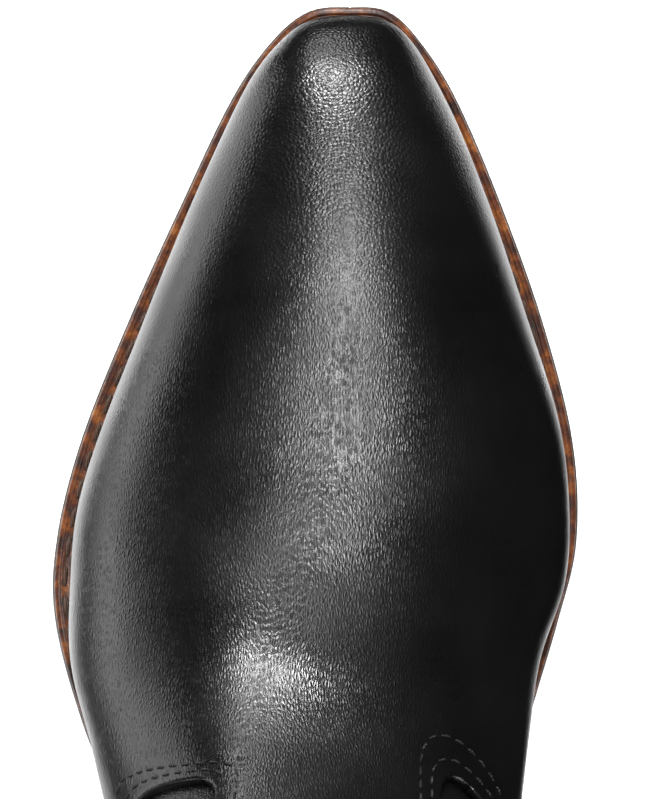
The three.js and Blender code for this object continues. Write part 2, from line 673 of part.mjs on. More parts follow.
// The turn at which a section crosses the side seam; it lies between these two.
const SIDE_TURNS = [0.7, 2.4];
function seamTurn(side, k) {
  let [low, high] = SIDE_TURNS;
  for (let n = 0; n < 30; n++) {
    const middle = (low + high) / 2;
    if (behindSeam(surfacePoint(k, side * middle)) < 0) low = middle;
    else high = middle;
  }
  return side * low;
}

const LOWEST_SEAM_SECTION = 14;
const PIPING_END_GAP = 2;
function seamPipingShape(side) {
  let bottom = LOWEST_SEAM_SECTION;
  while (overCounter(surfacePoint(bottom, seamTurn(side, bottom))) < PIPING_END_GAP) bottom += 0.1;
  const seamTop = toplineSection(side * TURN / 2);
  const sideTurn = side * TURN / 2;
  const climb = surfacePoint(seamTop, sideTurn).distanceTo(surfacePoint(seamTop - 1, sideTurn));
  const top = seamTop - (STRAP_OUTER_LEG + PIPING_END_GAP) / climb;
  const sides = 8;
  const rings = range(15).map((i) => {
    const k = bottom + (top - bottom) * i / 14;
    const turn = seamTurn(side, k);
    const centre = layerPoint(k, turn, MIDDLE[0] + FIT_GAP + PIPING_RADIUS);
    const out = layerPoint(k, turn, 1).sub(surfacePoint(k, turn));
    const onSeam = (q) => surfacePoint(q, seamTurn(side, q));
    const climbing = onSeam(k + STEP).sub(onSeam(k - STEP));
    const sideways = climbing.normalize().cross(out);
    return range(sides).map((n) => {
      const angle = 2 * Math.PI * n / sides;
      return centre.clone().addScaledVector(out, PIPING_RADIUS * Math.cos(angle))
        .addScaledVector(sideways, PIPING_RADIUS * Math.sin(angle));
    });
  });
  return facingOut(sweptBar(rings));
}

const BINDING_OUTSIDE = MIDDLE[0] + FIT_GAP + BINDING_THICKNESS;
const BINDING_INSIDE = INNER[1] - FIT_GAP - BINDING_THICKNESS;
const OUTER_LEG = [BINDING_OUTSIDE + FIT_GAP + STRAP_THICKNESS, BINDING_OUTSIDE + FIT_GAP];
const INNER_LEG = [BINDING_INSIDE - FIT_GAP, BINDING_INSIDE - FIT_GAP - STRAP_THICKNESS];

function strapLegShape(side, depths, length) {
  const top = topAtStrap(side);
  const outsideLeg = (p) => Math.max(
    Math.abs(p.y - SEAM_Y) - STRAP_WIDTH / 2, p.z - top, top - length - p.z);
  const turns = side > 0 ? [1.1, 2.1, 8] : [-2.1, -1.1, 8];
  return leatherPatch(outsideLeg, depths, [ANKLE_SECTION, TOP_K, 14], turns);
}
const topAtStrap = (side) => topline(side * TURN / 2);

// The free loop: a thick arch over the topline, extruded along the strap's width.
function strapLoopShape(side) {
  const outer = (OUTER_LEG[0] + OUTER_LEG[1]) / 2;
  const inner = (INNER_LEG[0] + INNER_LEG[1]) / 2;
  const middle = (outer + inner) / 2;
  const halfSpan = (outer - inner) / 2;
  const steps = 14;
  const centreLine = range(steps + 1).map((i) => {
    const angle = Math.PI * i / steps;
    const rise = Math.sin(angle);
    const spread = halfSpan + LOOP_BULGE * Math.sin(2 * Math.min(angle, Math.PI - angle)) ** 1.2;
    const height = LOOP_HINGE_GAP + (LOOP_HEIGHT - LOOP_HINGE_GAP) * rise ** 0.8;
    return new THREE.Vector2(middle + spread * Math.cos(angle), height);
  });
  const offsetLine = (distance) => centreLine.map((point, i) => {
    const before = centreLine[Math.max(0, i - 1)];
    const after = centreLine[Math.min(steps, i + 1)];
    const ahead = after.clone().sub(before).normalize();
    return new THREE.Vector2(point.x + ahead.y * distance, point.y - ahead.x * distance);
  });
  const profile = [...offsetLine(STRAP_THICKNESS / 2), ...offsetLine(-STRAP_THICKNESS / 2).reverse()];
  const ys = range(5).map((i) => SEAM_Y + STRAP_WIDTH * (i / 4 - 0.5));
  const rings = ys.map((y) => profile.map(({ x: depth, y: height }) => {
    const z = topAtStrap(side) + height;
    const turn = turnAt(side, y);
    const k = sectionAt(turn, z);
    return layerPoint(k, turn, depth).setZ(z);
  }));
  return facingOut(loopSolid(rings, steps + 1));
}

// Closes an extruded arch: its end faces are strips between the outer and the inner line.
function loopSolid(rings, lineLength) {
  const size = rings[0].length;
  const triangles = [];
  for (let i = 0; i + 1 < rings.length; i++) {
    for (let j = 0; j < size; j++) {
      const [a, b] = [i * size + j, i * size + (j + 1) % size];
      triangles.push([a, b, b + size], [a, b + size, a + size]);
    }
  }
  const last = (rings.length - 1) * size;
  for (let j = 0; j + 1 < lineLength; j++) {
    const [a, b, c, d] = [j, j + 1, size - 2 - j, size - 1 - j];
    triangles.push([a, c, b], [a, d, c], [last + a, last + b, last + c], [last + a, last + c, last + d]);
  }
  return solid(rings.flat(), triangles);
}

// The turn at the top of the shaft where the surface reaches y, and the section where it reaches z.
function turnAt(side, y) {
  let [low, high] = SIDE_TURNS;
  const k = toplineSection(side * TURN / 2);
  for (let n = 0; n < 30; n++) {
    const middle = (low + high) / 2;
    if (surfacePoint(k, side * middle).y < y) low = middle;
    else high = middle;
  }
  return side * low;
}
function sectionAt(turn, z) {
  let [low, high] = [ANKLE_SECTION, LAST_SECTION - FIRST_SECTION];
  for (let n = 0; n < 30; n++) {
    const middle = (low + high) / 2;
    if (surfacePoint(middle, turn).z < z) low = middle;
    else high = middle;
  }
  return low;
}

// The heel: drop goes from 0 at the seat to 1 at the floor, and the stack narrows towards the floor.
const HEEL_BASE_BACK = HEEL_BASE_LENGTH / 2;
const HEEL_ROUNDNESS = 2 / 3;
function heelOutline(drop, count = 20) {
  const start = outlineStation(BREAST_Y);
  return range(count + 1).map((i) => {
    const fromBack = (2 * i - count) / count;
    const side = fromBack < 0 ? 1 : -1;
    const station = OUTLINE_ROWS - (OUTLINE_ROWS - start) * Math.abs(fromBack);
    const top = solePoint(side, station);
    const angle = Math.PI * (1 - Math.abs(fromBack)) / 2;
    const bottom = new THREE.Vector2(
      side * HEEL_BASE_WIDTH / 2 * Math.max(0, Math.cos(angle)) ** HEEL_ROUNDNESS,
      -HEEL_BASE_BACK + HEEL_BASE_LENGTH * Math.sin(angle) ** HEEL_ROUNDNESS,
    );
    return top.lerp(bottom, drop ** 0.85);
  });
}

function heelSlab(lowShare, highShare, lowLift, highLift) {
  const ring = (share, lift) => heelOutline(1 - share).map(
    (p) => new THREE.Vector3(p.x, p.y, share * undersideZ(Math.max(p.y, SEAT_START_Y)) + lift));
  const rings = [ring(lowShare, lowLift), ring(highShare, highLift)];
  const size = rings[0].length;
  const sumOf = (points) => points.reduce((sum, p) => sum.add(p), new THREE.Vector3());
  const middleOf = (points) => sumOf(points).divideScalar(size);
  const centres = rings.map(middleOf);
  const triangles = [];
  for (let j = 0; j < size; j++) {
    const b = (j + 1) % size;
    triangles.push([j, b, size + b], [j, size + b, size + j]);
    triangles.push([2 * size, b, j], [2 * size + 1, size + j, size + b]);
  }
  return facingOut(solid([...rings.flat(), ...centres], triangles));
}

function asManifold(geometry) {
  const bare = geometry.index ? geometry.toNonIndexed() : geometry.clone();
  bare.deleteAttribute('normal');
  bare.deleteAttribute('uv');
  const merged = mergeVertices(bare, 1e-4);
  return new wasm.Manifold(new wasm.Mesh({
    numProp: 3,
    vertProperties: merged.attributes.position.array,
    triVerts: new Uint32Array(merged.index.array),
  }));
}

function fromManifold(shape) {
  const { vertProperties, triVerts } = shape.getMesh();
  const geometry = new THREE.BufferGeometry();
  geometry.setAttribute('position', new THREE.BufferAttribute(new Float32Array(vertProperties), 3));
  geometry.setIndex(new THREE.BufferAttribute(new Uint32Array(triVerts), 1));
  return geometry;
}

function withHoles(geometry, holes) {
  let shape = asManifold(geometry);
  for (const hole of holes) shape = shape.subtract(asManifold(hole));
  return fromManifold(shape);
}

// An upright pin between two heights.
function pinShape(radius, sides, x, y, low, high) {
  const pin = new THREE.CylinderGeometry(radius, radius, high - low, sides, 1);
  pin.rotateX(Math.PI / 2);
  pin.translate(x, y, (low + high) / 2);
  return pin;
}

// Square wooden pegs hold the waist: through the outsole and up into the welt.
const PEG_INSET = 5;
const PEG_RADIUS = PEG_SIZE / Math.SQRT2;
const PEG_FRONT_Y = along(-92);
const PEG_BACK_Y = along(-42);
const PEG_SIDES = 4;
const pegPlaces = [1, -1].flatMap((side) => range(PEGS_PER_SIDE).map((i) => {
  const y = PEG_FRONT_Y + (PEG_BACK_Y - PEG_FRONT_Y) * i / (PEGS_PER_SIDE - 1);
  return solePoint(side, outlineStation(y), PEG_INSET);
}));
const PEG_SINK = 0.8;
// A hole runs this far past the face it opens in.
const THROUGH = 5;

function pegSpan({ y }) {
  return [undersideZ(y) + PEG_SINK, undersideZ(y) + WELT_TOP - PEG_SINK];
}
const pegShape = (place) => pinShape(PEG_RADIUS, PEG_SIDES, place.x, place.y, ...pegSpan(place));
const pegHole = (place) => {
  const [, high] = pegSpan(place);
  const low = undersideZ(place.y) - THROUGH;
  const radius = PEG_RADIUS + FIT_GAP * Math.SQRT2;
  return pinShape(radius, PEG_SIDES, place.x, place.y, low, high + FIT_GAP);
};

// Steel nails hold the heel: through the seat and down through every lift.
const NAIL_SIDES = 8;
const NAIL_RING = 15;
const NAILS = 4;
const NAIL_RING_Y = 2;
const NAIL_SINK = 0.6;
const nailPlaces = range(NAILS).map((i) => {
  const angle = Math.PI / NAILS + 2 * Math.PI / NAILS * i;
  return new THREE.Vector2(NAIL_RING * Math.cos(angle), NAIL_RING * Math.sin(angle) + NAIL_RING_Y);
});
const NAIL_BOTTOM = HEEL_CAP_THICKNESS + 3;
const nailTop = ({ y }) => undersideZ(y) + OUTSOLE_TOP - NAIL_SINK;
function nailShape(place) {
  return pinShape(NAIL_DIAMETER / 2, NAIL_SIDES, place.x, place.y, NAIL_BOTTOM, nailTop(place));
}
function nailHole(place) {
  const radius = NAIL_DIAMETER / 2 + FIT_GAP;
  return pinShape(radius, NAIL_SIDES, place.x, place.y, NAIL_BOTTOM - FIT_GAP, nailTop(place) + THROUGH);
}

const CAP_SHARE = HEEL_CAP_THICKNESS / HEEL_HEIGHT;
function heelLiftShape(i) {
  const shareAt = (n) => CAP_SHARE + (1 - CAP_SHARE) * n / HEEL_LIFTS;
  return withHoles(heelSlab(shareAt(i), shareAt(i + 1), 0, -FIT_GAP), nailPlaces.map(nailHole));
}

const leather = (color, roughness) => new THREE.MeshStandardMaterial({ color, roughness, metalness: 0 });
const BLACK_LEATHER = leather(0x17181a, 0.42);
const TAN_LINING = leather(0xb08a5c, 0.75);
const COGNAC_WELT = leather(0x9a5526, 0.45);
const DARK_SOLE = leather(0x2c1a10, 0.5);
const STACK_LEATHER = leather(0x4a2c18, 0.5);
const THREAD = leather(0x2a1a12, 0.8);
const CORK = leather(0xa9855a, 0.9);
const WOOD = leather(0xc9a873, 0.8);
const RUBBER = leather(0x151515, 0.85);
const BOARD = leather(0x8b7758, 0.85);
const STEEL = new THREE.MeshStandardMaterial({ color: 0x9da3a8, roughness: 0.35, metalness: 1 });

const group = new THREE.Group();
function add(name, geometry, material) {
  const mesh = new THREE.Mesh(geometry, material);
  mesh.name = name;
  group.add(mesh);
}

add('vamp', facingOut(vampShape()), BLACK_LEATHER);
add('counter_cover', facingOut(counterCoverShape()), BLACK_LEATHER);
add('shaft_front', facingOut(shaftFrontShape()), BLACK_LEATHER);
add('shaft_back', facingOut(shaftBackShape()), BLACK_LEATHER);
add('topline_binding', bindingShape(), BLACK_LEATHER);
add('toe_puff', facingOut(toePuffShape()), BOARD);
add('vamp_interlining', facingOut(interliningShape()), BOARD);
add('heel_stiffener', facingOut(stiffenerShape()), BOARD);
add('vamp_lining', facingOut(vampLiningShape()), TAN_LINING);
add('shaft_lining_front', facingOut(liningFrontShape()), TAN_LINING);
add('shaft_lining_back', facingOut(liningBackShape()), TAN_LINING);

for (const [name, side] of [['lateral', 1], ['medial', -1]]) {
  add(`${name}_seam_piping`, seamPipingShape(side), BLACK_LEATHER);
  add(`${name}_strap_outer_leg`, facingOut(strapLegShape(side, OUTER_LEG, STRAP_OUTER_LEG)), BLACK_LEATHER);
  add(`${name}_strap_inner_leg`, facingOut(strapLegShape(side, INNER_LEG, STRAP_INNER_LEG)), BLACK_LEATHER);
  add(`${name}_pull_loop`, strapLoopShape(side), BLACK_LEATHER);
}

const soleHoles = [...pegPlaces.map(pegHole), ...nailPlaces.map(nailHole)];
add('outsole', withHoles(outsoleShape(), soleHoles), DARK_SOLE);
add('welt', withHoles(weltShape(), pegPlaces.map(pegHole)), COGNAC_WELT);
add('heel_rand', randShape(), COGNAC_WELT);
add('welt_thread', weltThreadShape(), THREAD);
add('cork_filler', corkFillerShape(), CORK);
add('shank', shankShape(), STEEL);
add('insole', insoleShape(), BOARD);
add('sock_liner', sockLinerShape(), TAN_LINING);
pegPlaces.forEach((place, i) => add(`waist_peg_${i + 1}`, pegShape(place), WOOD));

range(HEEL_LIFTS).forEach((i) => add(`heel_lift_${i + 1}`, heelLiftShape(i), STACK_LEATHER));
add('heel_cap', heelSlab(0, CAP_SHARE, 0, -FIT_GAP), RUBBER);
nailPlaces.forEach((place, i) => add(`heel_nail_${i + 1}`, nailShape(place), STEEL));

export default group;
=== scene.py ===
"""A left cowboy boot seen from straight above its toe: fine leather surfaces, stitching and burnished
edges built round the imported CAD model. Shapes are worked out in millimetres and built in metres."""

import math

import bmesh
import bpy
import numpy as np
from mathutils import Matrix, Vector


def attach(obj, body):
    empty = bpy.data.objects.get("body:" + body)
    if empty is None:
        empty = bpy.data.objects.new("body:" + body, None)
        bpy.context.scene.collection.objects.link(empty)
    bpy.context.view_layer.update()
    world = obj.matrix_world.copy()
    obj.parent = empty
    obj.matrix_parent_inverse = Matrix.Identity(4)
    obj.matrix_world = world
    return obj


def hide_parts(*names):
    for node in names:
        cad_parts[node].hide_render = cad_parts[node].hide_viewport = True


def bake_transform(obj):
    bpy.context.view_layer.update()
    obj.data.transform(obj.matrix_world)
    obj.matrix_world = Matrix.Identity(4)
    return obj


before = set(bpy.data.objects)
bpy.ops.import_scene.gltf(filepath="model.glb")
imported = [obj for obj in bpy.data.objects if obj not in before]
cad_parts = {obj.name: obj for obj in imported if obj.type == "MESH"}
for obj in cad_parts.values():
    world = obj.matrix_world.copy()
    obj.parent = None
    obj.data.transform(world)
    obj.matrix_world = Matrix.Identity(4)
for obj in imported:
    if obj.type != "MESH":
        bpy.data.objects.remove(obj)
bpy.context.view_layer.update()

MM = 0.001

# ---- sizes shared with the CAD model, in mm
TOE_Y = -235.5
TREAD_Y = -145.0
WAIST_START_Y = -138.0
BREAST_Y = -30.0
SEAT_START_Y = -26.0
HEEL_BACK_Y = 36.3
HEEL_HEIGHT = 38.0
SHAFT_RISE = 264.0
TOE_SPRING = 11.0
TOE_SPRING_POWER = 1.8
SEAT_SLOPE = 0.03
SCALLOP_DEPTH = 34.0

# Heights over the sole's underside
OUTSOLE_TOP = 5.0
WELT_TOP = 8.3
FEATHER = 8.6
INSOLE_BASE = 8.9
INSOLE_TOP = 11.9
SOCK_BASE = 12.2
SOCK_TOP = 13.6
WELT_STRIP = 9.0

# Depths of the outer and inner face of each layer, from the boot's surface
VAMP_DEPTHS = (0.0, -2.02)
MIDDLE = (-2.1, -3.5)
INNER = (-4.0, -5.2)

CAP_THICKNESS = 6.0
HEEL_LIFTS = 5
HEEL_BASE = 50.0

# footY, footRise, ridgeY, ridgeRise, lateralX, medialX, ridgeX, widest, footPower, ridgePower
SECTIONS = np.array([
    [-232.4, 2.2, -232.4, -6.2, -10.3, 3.8, -3.6, 0.46, 3.0, 2.2],
    [-233.4, 0.0, -233.4, 0.0, -3.3, -3.3, -3.3, 0.46, 3.0, 2.2],
    [-232.4, -2.2, -232.4, 6.2, 3.8, -10.3, -3.0, 0.46, 3.0, 2.2],
    [-229.0, -4.5, -229.0, 13.2, 8.8, -14.6, -0.5, 0.46, 3.0, 2.2],
    [-222.4, -7.0, -222.4, 20.5, 14.3, -18.9, 0.3, 0.46, 3.0, 2.2],
    [-211.0, -9.0, -211.0, 26.7, 20.2, -24.6, -0.8, 0.45, 3.0, 2.15],
    [-195.8, -10.0, -195.8, 32.0, 26.9, -30.7, -2.6, 0.43, 3.0, 2.1],
    [-177.0, -10.0, -177.0, 36.5, 34.7, -36.9, -3.0, 0.41, 3.0, 2.1],
    [-158.0, -10.0, -158.0, 40.7, 42.2, -42.6, -1.4, 0.395, 3.0, 2.05],
    [-142.0, -10.0, -142.0, 44.4, 47.0, -44.6, 2.5, 0.385, 3.0, 2.0],
    [-127.7, -10.0, -127.7, 47.6, 48.4, -43.9, 9.0, 0.39, 2.9, 1.9],
    [-112.5, -10.0, -114.0, 49.8, 48.0, -38.9, 13.0, 0.415, 2.7, 1.78],
    [-92.0, -10.0, -103.0, 49.6, 43.2, -36.0, 15.5, 0.5, 2.3, 1.72],
    [-65.0, -10.0, -93.0, 47.6, 38.5, -33.8, 16.0, 0.5, 2.1, 1.72],
    [-35.0, -10.0, -86.0, 47.2, 36.0, -33.5, 15.0, 0.5, 2.2, 1.78],
    [-5.0, -10.0, -80.5, 55.8, 34.5, -33.5, 12.5, 0.5, 2.8, 1.85],
    [20.0, -10.0, -77.0, 64.0, 34.5, -34.0, 9.0, 0.5, 2.6, 1.92],
    [34.0, -2.4, -74.5, 72.6, 35.5, -35.5, 6.0, 0.5, 2.3, 1.97],
    [38.0, 17.6, -72.5, 83.6, 36.5, -36.5, 3.0, 0.5, 2.1, 2.0],
    [35.5, 46.6, -71.0, 98.6, 37.0, -37.0, 1.2, 0.5, 2.0, 2.0],
    [34.0, 81.6, -70.5, 116.6, 38.0, -38.0, 0.0, 0.5, 2.0, 2.0],
    [36.0, 126.6, -72.0, 141.6, 41.0, -41.0, 0.0, 0.5, 2.0, 2.05],
    [39.0, 191.6, -77.0, 191.6, 46.5, -46.5, 0.0, 0.5, 2.05, 2.05],
    [42.0, 264.0, -84.0, 264.0, 52.5, -52.5, 0.0, 0.5, 2.1, 2.1],
    [44.0, 312.0, -87.5, 312.0, 55.5, -55.5, 0.0, 0.5, 2.1, 2.1],
    [45.0, 360.0, -90.0, 360.0, 58.0, -58.0, 0.0, 0.5, 2.1, 2.1],
])

# y, outer side x, inner side x, from the toe to the back of the heel
SOLE_OUTLINE = np.array([
    [-234.7, -10.9, 3.9],
    [-235.5, -3.8, -3.8],
    [-234.7, 3.9, -10.9],
    [-229.3, 10.8, -16.8],
    [-218.6, 18.4, -23.7],
    [-199.6, 27.7, -32.0],
    [-176.9, 38.1, -40.2],
    [-154.2, 47.2, -46.0],
    [-135.2, 51.9, -46.8],
    [-120.1, 52.0, -43.2],
    [-101.0, 46.5, -37.2],
    [-80.0, 37.5, -31.3],
    [-58.0, 31.8, -28.8],
    [-32.0, 31.0, -30.0],
    [-10.0, 31.4, -31.0],
    [10.0, 29.6, -29.4],
    [27.0, 20.6, -20.6],
    [36.3, 0.0, 0.0],
    [27.0, -20.6, 20.6],
])
OUTLINE_ROWS = len(SOLE_OUTLINE) - 3


# ---- the boot surface
def smoothstep(t):
    c = np.clip(t, 0, 1)
    return c * c * (3 - 2 * c)


def through_rows(rows, p):
    """Catmull-Rom through rows of numbers; p counts rows."""
    p = np.asarray(p, float)
    i = np.clip(np.floor(p).astype(int), 1, len(rows) - 3)
    t = (p - i)[..., None]
    a, b, c, d = rows[i - 1], rows[i], rows[i + 1], rows[i + 2]
    return b + 0.5 * t * (c - a + t * (2 * a - 5 * b + 4 * c - d + t * (3 * (b - c) + d - a)))


def underside_z(y):
    y = np.asarray(y, float)
    share = np.clip((TREAD_Y - y) / (TREAD_Y - TOE_Y), 0, 1.2)
    toe = TOE_SPRING * share**TOE_SPRING_POWER
    waist = HEEL_HEIGHT * smoothstep((y - WAIST_START_Y) / (SEAT_START_Y - WAIST_START_Y))
    return np.where(y < TREAD_Y, toe, waist + SEAT_SLOPE * np.maximum(0, y - SEAT_START_Y))


def feather_z(y):
    return underside_z(y) + FEATHER


def sized_sections():
    rows = SECTIONS.copy()
    base = feather_z(np.minimum(rows[:, 0], HEEL_BACK_Y))
    rows[:, 1] += base
    rows[:, 3] += base
    return rows


ROWS = sized_sections()


def surface(k, turn):
    """Points of the boot surface: k picks the section, turn goes round it from the ridge (0)."""
    k, turn = np.broadcast_arrays(np.asarray(k, float), np.asarray(turn, float))
    v = through_rows(ROWS, k + 1)
    foot_y, foot_z, ridge_y, ridge_z, lateral, medial, ridge_x, widest, foot_power, ridge_power = (
        v[..., n] for n in range(10)
    )
    c, s = np.cos(turn), np.sin(turn)
    power = np.where(c > 0, ridge_power, foot_power)
    r = (np.abs(c) ** power + np.abs(s) ** power) ** (-1 / power)
    share = widest + r * c * np.where(c > 0, 1 - widest, widest)
    middle = np.where(c > 0, ridge_x, (lateral + medial) / 2)
    side = np.where(s > 0, lateral, medial)
    return np.stack([
        middle + (side - middle) * np.abs(r * s),
        foot_y + (ridge_y - foot_y) * share,
        foot_z + (ridge_z - foot_z) * share,
    ], -1)


STEP = 0.02


def unit(v):
    return v / np.maximum(np.linalg.norm(v, axis=-1, keepdims=True), 1e-12)


def normal(k, turn):
    kk = np.maximum(k, STEP * 2)
    up = surface(kk + STEP, turn) - surface(kk - STEP, turn)
    back = surface(kk, turn + STEP) - surface(kk, turn - STEP)
    return unit(np.cross(back, up))


def layer(k, turn, depth):
    return surface(k, turn) + normal(k, turn) * np.asarray(depth, float)[..., None]


def even_stations(k0, k1, spacing):
    """Values of k a fixed distance apart, measured along whichever line of the surface is longest."""
    fine = np.linspace(k0, k1, 600)
    lines = [surface(fine, np.full(600, turn)) for turn in (0.0, 1.2, 2.0, 3.1)]
    steps = np.max([np.linalg.norm(np.diff(line, axis=0), axis=1) for line in lines], axis=0)
    length = np.concatenate([[0], np.cumsum(steps)])
    count = max(3, int(length[-1] / spacing) + 1)
    return np.interp(np.linspace(0, length[-1], count), length, fine)


# ---- mesh building
def mesh_object(name, points, faces):
    mesh = bpy.data.meshes.new(name)
    mesh.from_pydata((np.asarray(points) * MM).tolist(), [], faces)
    mesh.validate()
    mesh.update()
    mesh.polygons.foreach_set("use_smooth", [True] * len(mesh.polygons))
    obj = bpy.data.objects.new(name, mesh)
    bpy.context.scene.collection.objects.link(obj)
    return obj


def finish_piece(obj, material, body="root", replaced=()):
    obj.data.materials.clear()
    obj.data.materials.append(material)
    if body:
        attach(obj, body)
    if replaced:
        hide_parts(*replaced)
    return obj


HALVINGS = 22


def cut_places(outside, k, turn, pairs, start_inside):
    """Where a piece's edge crosses the line between each pair of grid corners, found by halving."""
    start, end = pairs[:, 0], pairs[:, 1]
    low, high = np.zeros(len(pairs)), np.ones(len(pairs))
    for _ in range(HALVINGS):
        share = (low + high) / 2
        k_cut = k[start] + (k[end] - k[start]) * share
        turn_cut = turn[start] + (turn[end] - turn[start]) * share
        same = (outside(surface(k_cut, turn_cut), k_cut, turn_cut) < 0) == start_inside
        low, high = np.where(same, share, low), np.where(same, high, share)
    return k_cut, turn_cut


def march(outside, ks, turns):
    """Corners and faces of the part of a (k, turn) grid where outside(point, k, turn) is negative."""
    k_grid, turn_grid = np.meshgrid(ks, turns, indexing="ij")
    inside = outside(surface(k_grid, turn_grid), k_grid, turn_grid) < 0
    k_all, turn_all, flat = k_grid.ravel(), turn_grid.ravel(), inside.ravel()
    columns = len(turns)
    cuts = {}
    faces = []
    some = inside[:-1, :-1] | inside[1:, :-1] | inside[:-1, 1:] | inside[1:, 1:]
    for i, j in np.argwhere(some):
        a = i * columns + j
        ring = (a, a + 1, a + columns + 1, a + columns)
        kept = []
        for p, q in zip(ring, ring[1:] + ring[:1]):
            if flat[p]:
                kept.append(p)
            if flat[p] != flat[q]:
                kept.append(cuts.setdefault((min(p, q), max(p, q)), len(flat) + len(cuts)))
        if len(kept) >= 3:
            faces.append(kept)
    if cuts:
        pairs = np.array(list(cuts))
        k_cut, turn_cut = cut_places(outside, k_all, turn_all, pairs, flat[pairs[:, 0]])
        k_all, turn_all = np.append(k_all, k_cut), np.append(turn_all, turn_cut)
    used = sorted({n for face in faces for n in face})
    place = {n: i for i, n in enumerate(used)}
    return k_all[used], turn_all[used], [tuple(place[n] for n in face) for face in faces]


def boundary_loops(faces):
    """Ordered loops of the corners on the edge of a patch."""
    edges = {}
    for face in faces:
        for n, a in enumerate(face):
            edges[(a, face[(n + 1) % len(face)])] = True
    onward = {a: b for (a, b) in edges if (b, a) not in edges}
    loops = []
    while onward:
        start = next(iter(onward))
        loop = [start]
        here = onward.pop(start)
        while here != start:
            loop.append(here)
            here = onward.pop(here)
        loops.append(loop)
    return loops


TURN_RADIUS = 40.0


def turn_stops(turn_range, cell):
    return np.linspace(*turn_range, int((turn_range[1] - turn_range[0]) * TURN_RADIUS / cell))


def rounded_rim(top, bottom, out, edge_round):
    """Rings of points that round a cut edge, from the top face down to the bottom one."""
    ahead = unit(np.roll(top, -2, axis=0) - np.roll(top, 2, axis=0))
    sideways = unit(np.cross(ahead, out))
    rings = []
    for angle in (30, 60, 90):
        a = math.radians(angle)
        rings.append(top + sideways * edge_round * math.sin(a) - out * edge_round * (1 - math.cos(a)))
    return rings + [bottom + sideways * edge_round]


def leather_patch(name, outside, depths, k_range, turn_range, cell, edge_round, swell=None):
    """A thick patch of the boot surface with rounded cut edges."""
    def shrunk(p, k, turn):
        return outside(p, k, turn) + edge_round

    k, turn, faces = march(shrunk, even_stations(*k_range, cell), turn_stops(turn_range, cell))
    count = len(k)
    base, out = surface(k, turn), normal(k, turn)
    extra = swell(base, k, turn) if swell is not None else np.zeros(count)
    top, bottom = base + out * (depths[0] + extra)[:, None], base + out * depths[1]
    points = [top, bottom]
    all_faces = faces + [tuple(n + count for n in reversed(face)) for face in faces]
    total = 2 * count
    for loop in boundary_loops(faces):
        rim = rounded_rim(top[loop], bottom[loop], out[loop], edge_round)
        points += rim
        rings = [loop]
        for _ in rim:
            rings.append(list(range(total, total + len(loop))))
            total += len(loop)
        rings.append([n + count for n in loop])
        for low, high in zip(rings[:-1], rings[1:]):
            for m in range(len(loop)):
                q = (m + 1) % len(loop)
                all_faces.append((low[q], low[m], high[m], high[q]))
    return mesh_object(name, np.concatenate(points), all_faces)


# ---- pattern lines, negative inside a piece
VAMP_END_Y = -61.0
MEDIAL_DIP_Y = -101.0
LATERAL_DIP_Y = -93.0
DIP_BLEND = 8.0
VAMP_SIDE_RISE = 24.0
DIP_RISE = 9.5
DIP_REACH = 5.0
TONGUE_TIP_RISE = 96.0
TONGUE_THROAT = 20.0
TONGUE_WIDEST = 24.0
DIP_ROUNDING = 5.0
VAMP_TOP_BASE = float(feather_z(VAMP_END_Y))
COUNTER_BACK_RISE = 64.0
COUNTER_SIDE_RISE = 24.0
SEAM_Y = -18.0
SEAM_SWEEP = 14.0
SEAM_BEND_RISE = 52.0
PANEL_GAP = 0.3
TOP_Z = float(feather_z(HEEL_BACK_Y)) + SHAFT_RISE - 4


def below_feather(p):
    return feather_z(p[..., 1]) - p[..., 2]


def join_regions(a, b, rounding):
    h = np.maximum(0, rounding - np.abs(a - b)) / rounding
    return np.minimum(a, b) - h * h * rounding / 4


def over_vamp_side(p):
    x, y, z = p[..., 0], p[..., 1], p[..., 2]
    dip_y = MEDIAL_DIP_Y + (LATERAL_DIP_Y - MEDIAL_DIP_Y) * (1 + np.tanh(x / DIP_BLEND)) / 2
    climb = DIP_RISE * np.exp(np.minimum(40, (dip_y - y) / DIP_REACH))
    edge = VAMP_TOP_BASE + VAMP_SIDE_RISE + climb
    return (z - edge) / np.minimum(3, 1 + climb / DIP_REACH)


def outside_tongue(p):
    x, y, z = p[..., 0], p[..., 1], p[..., 2]
    rise = (z - VAMP_TOP_BASE) / TONGUE_TIP_RISE
    swell = TONGUE_THROAT + (TONGUE_WIDEST - TONGUE_THROAT) * smoothstep((rise - 0.4) / 0.35)
    taper = np.maximum(0, (rise - 0.55) / 0.45) ** 1.7
    width = swell * np.sqrt(np.maximum(0, 1 - taper))
    return np.maximum(np.maximum(np.abs(x) - width, (rise - 1) * TONGUE_TIP_RISE), y + 40)


def outside_vamp_top(p):
    return join_regions(over_vamp_side(p), outside_tongue(p), DIP_ROUNDING)


def over_counter(p):
    reach = np.maximum(0, (p[..., 1] - VAMP_END_Y) / (HEEL_BACK_Y - VAMP_END_Y))
    rise = COUNTER_SIDE_RISE + (COUNTER_BACK_RISE - COUNTER_SIDE_RISE) * reach**2.2
    return p[..., 2] - (VAMP_TOP_BASE + rise)


def seam_y(z):
    return SEAM_Y - SEAM_SWEEP * smoothstep((VAMP_TOP_BASE + SEAM_BEND_RISE + 10 - z) / 50)


def behind_seam(p):
    return p[..., 1] - seam_y(p[..., 2])


def topline(turn):
    s = np.abs(np.sin(turn))
    return TOP_Z - SCALLOP_DEPTH * (1 - s) ** 1.2 - 3 * np.exp(-(((s - 1) / 0.12) ** 2))


def over_topline(p, turn):
    return p[..., 2] - topline(turn)


def most(*values):
    result = values[0]
    for value in values[1:]:
        result = np.maximum(result, value)
    return result


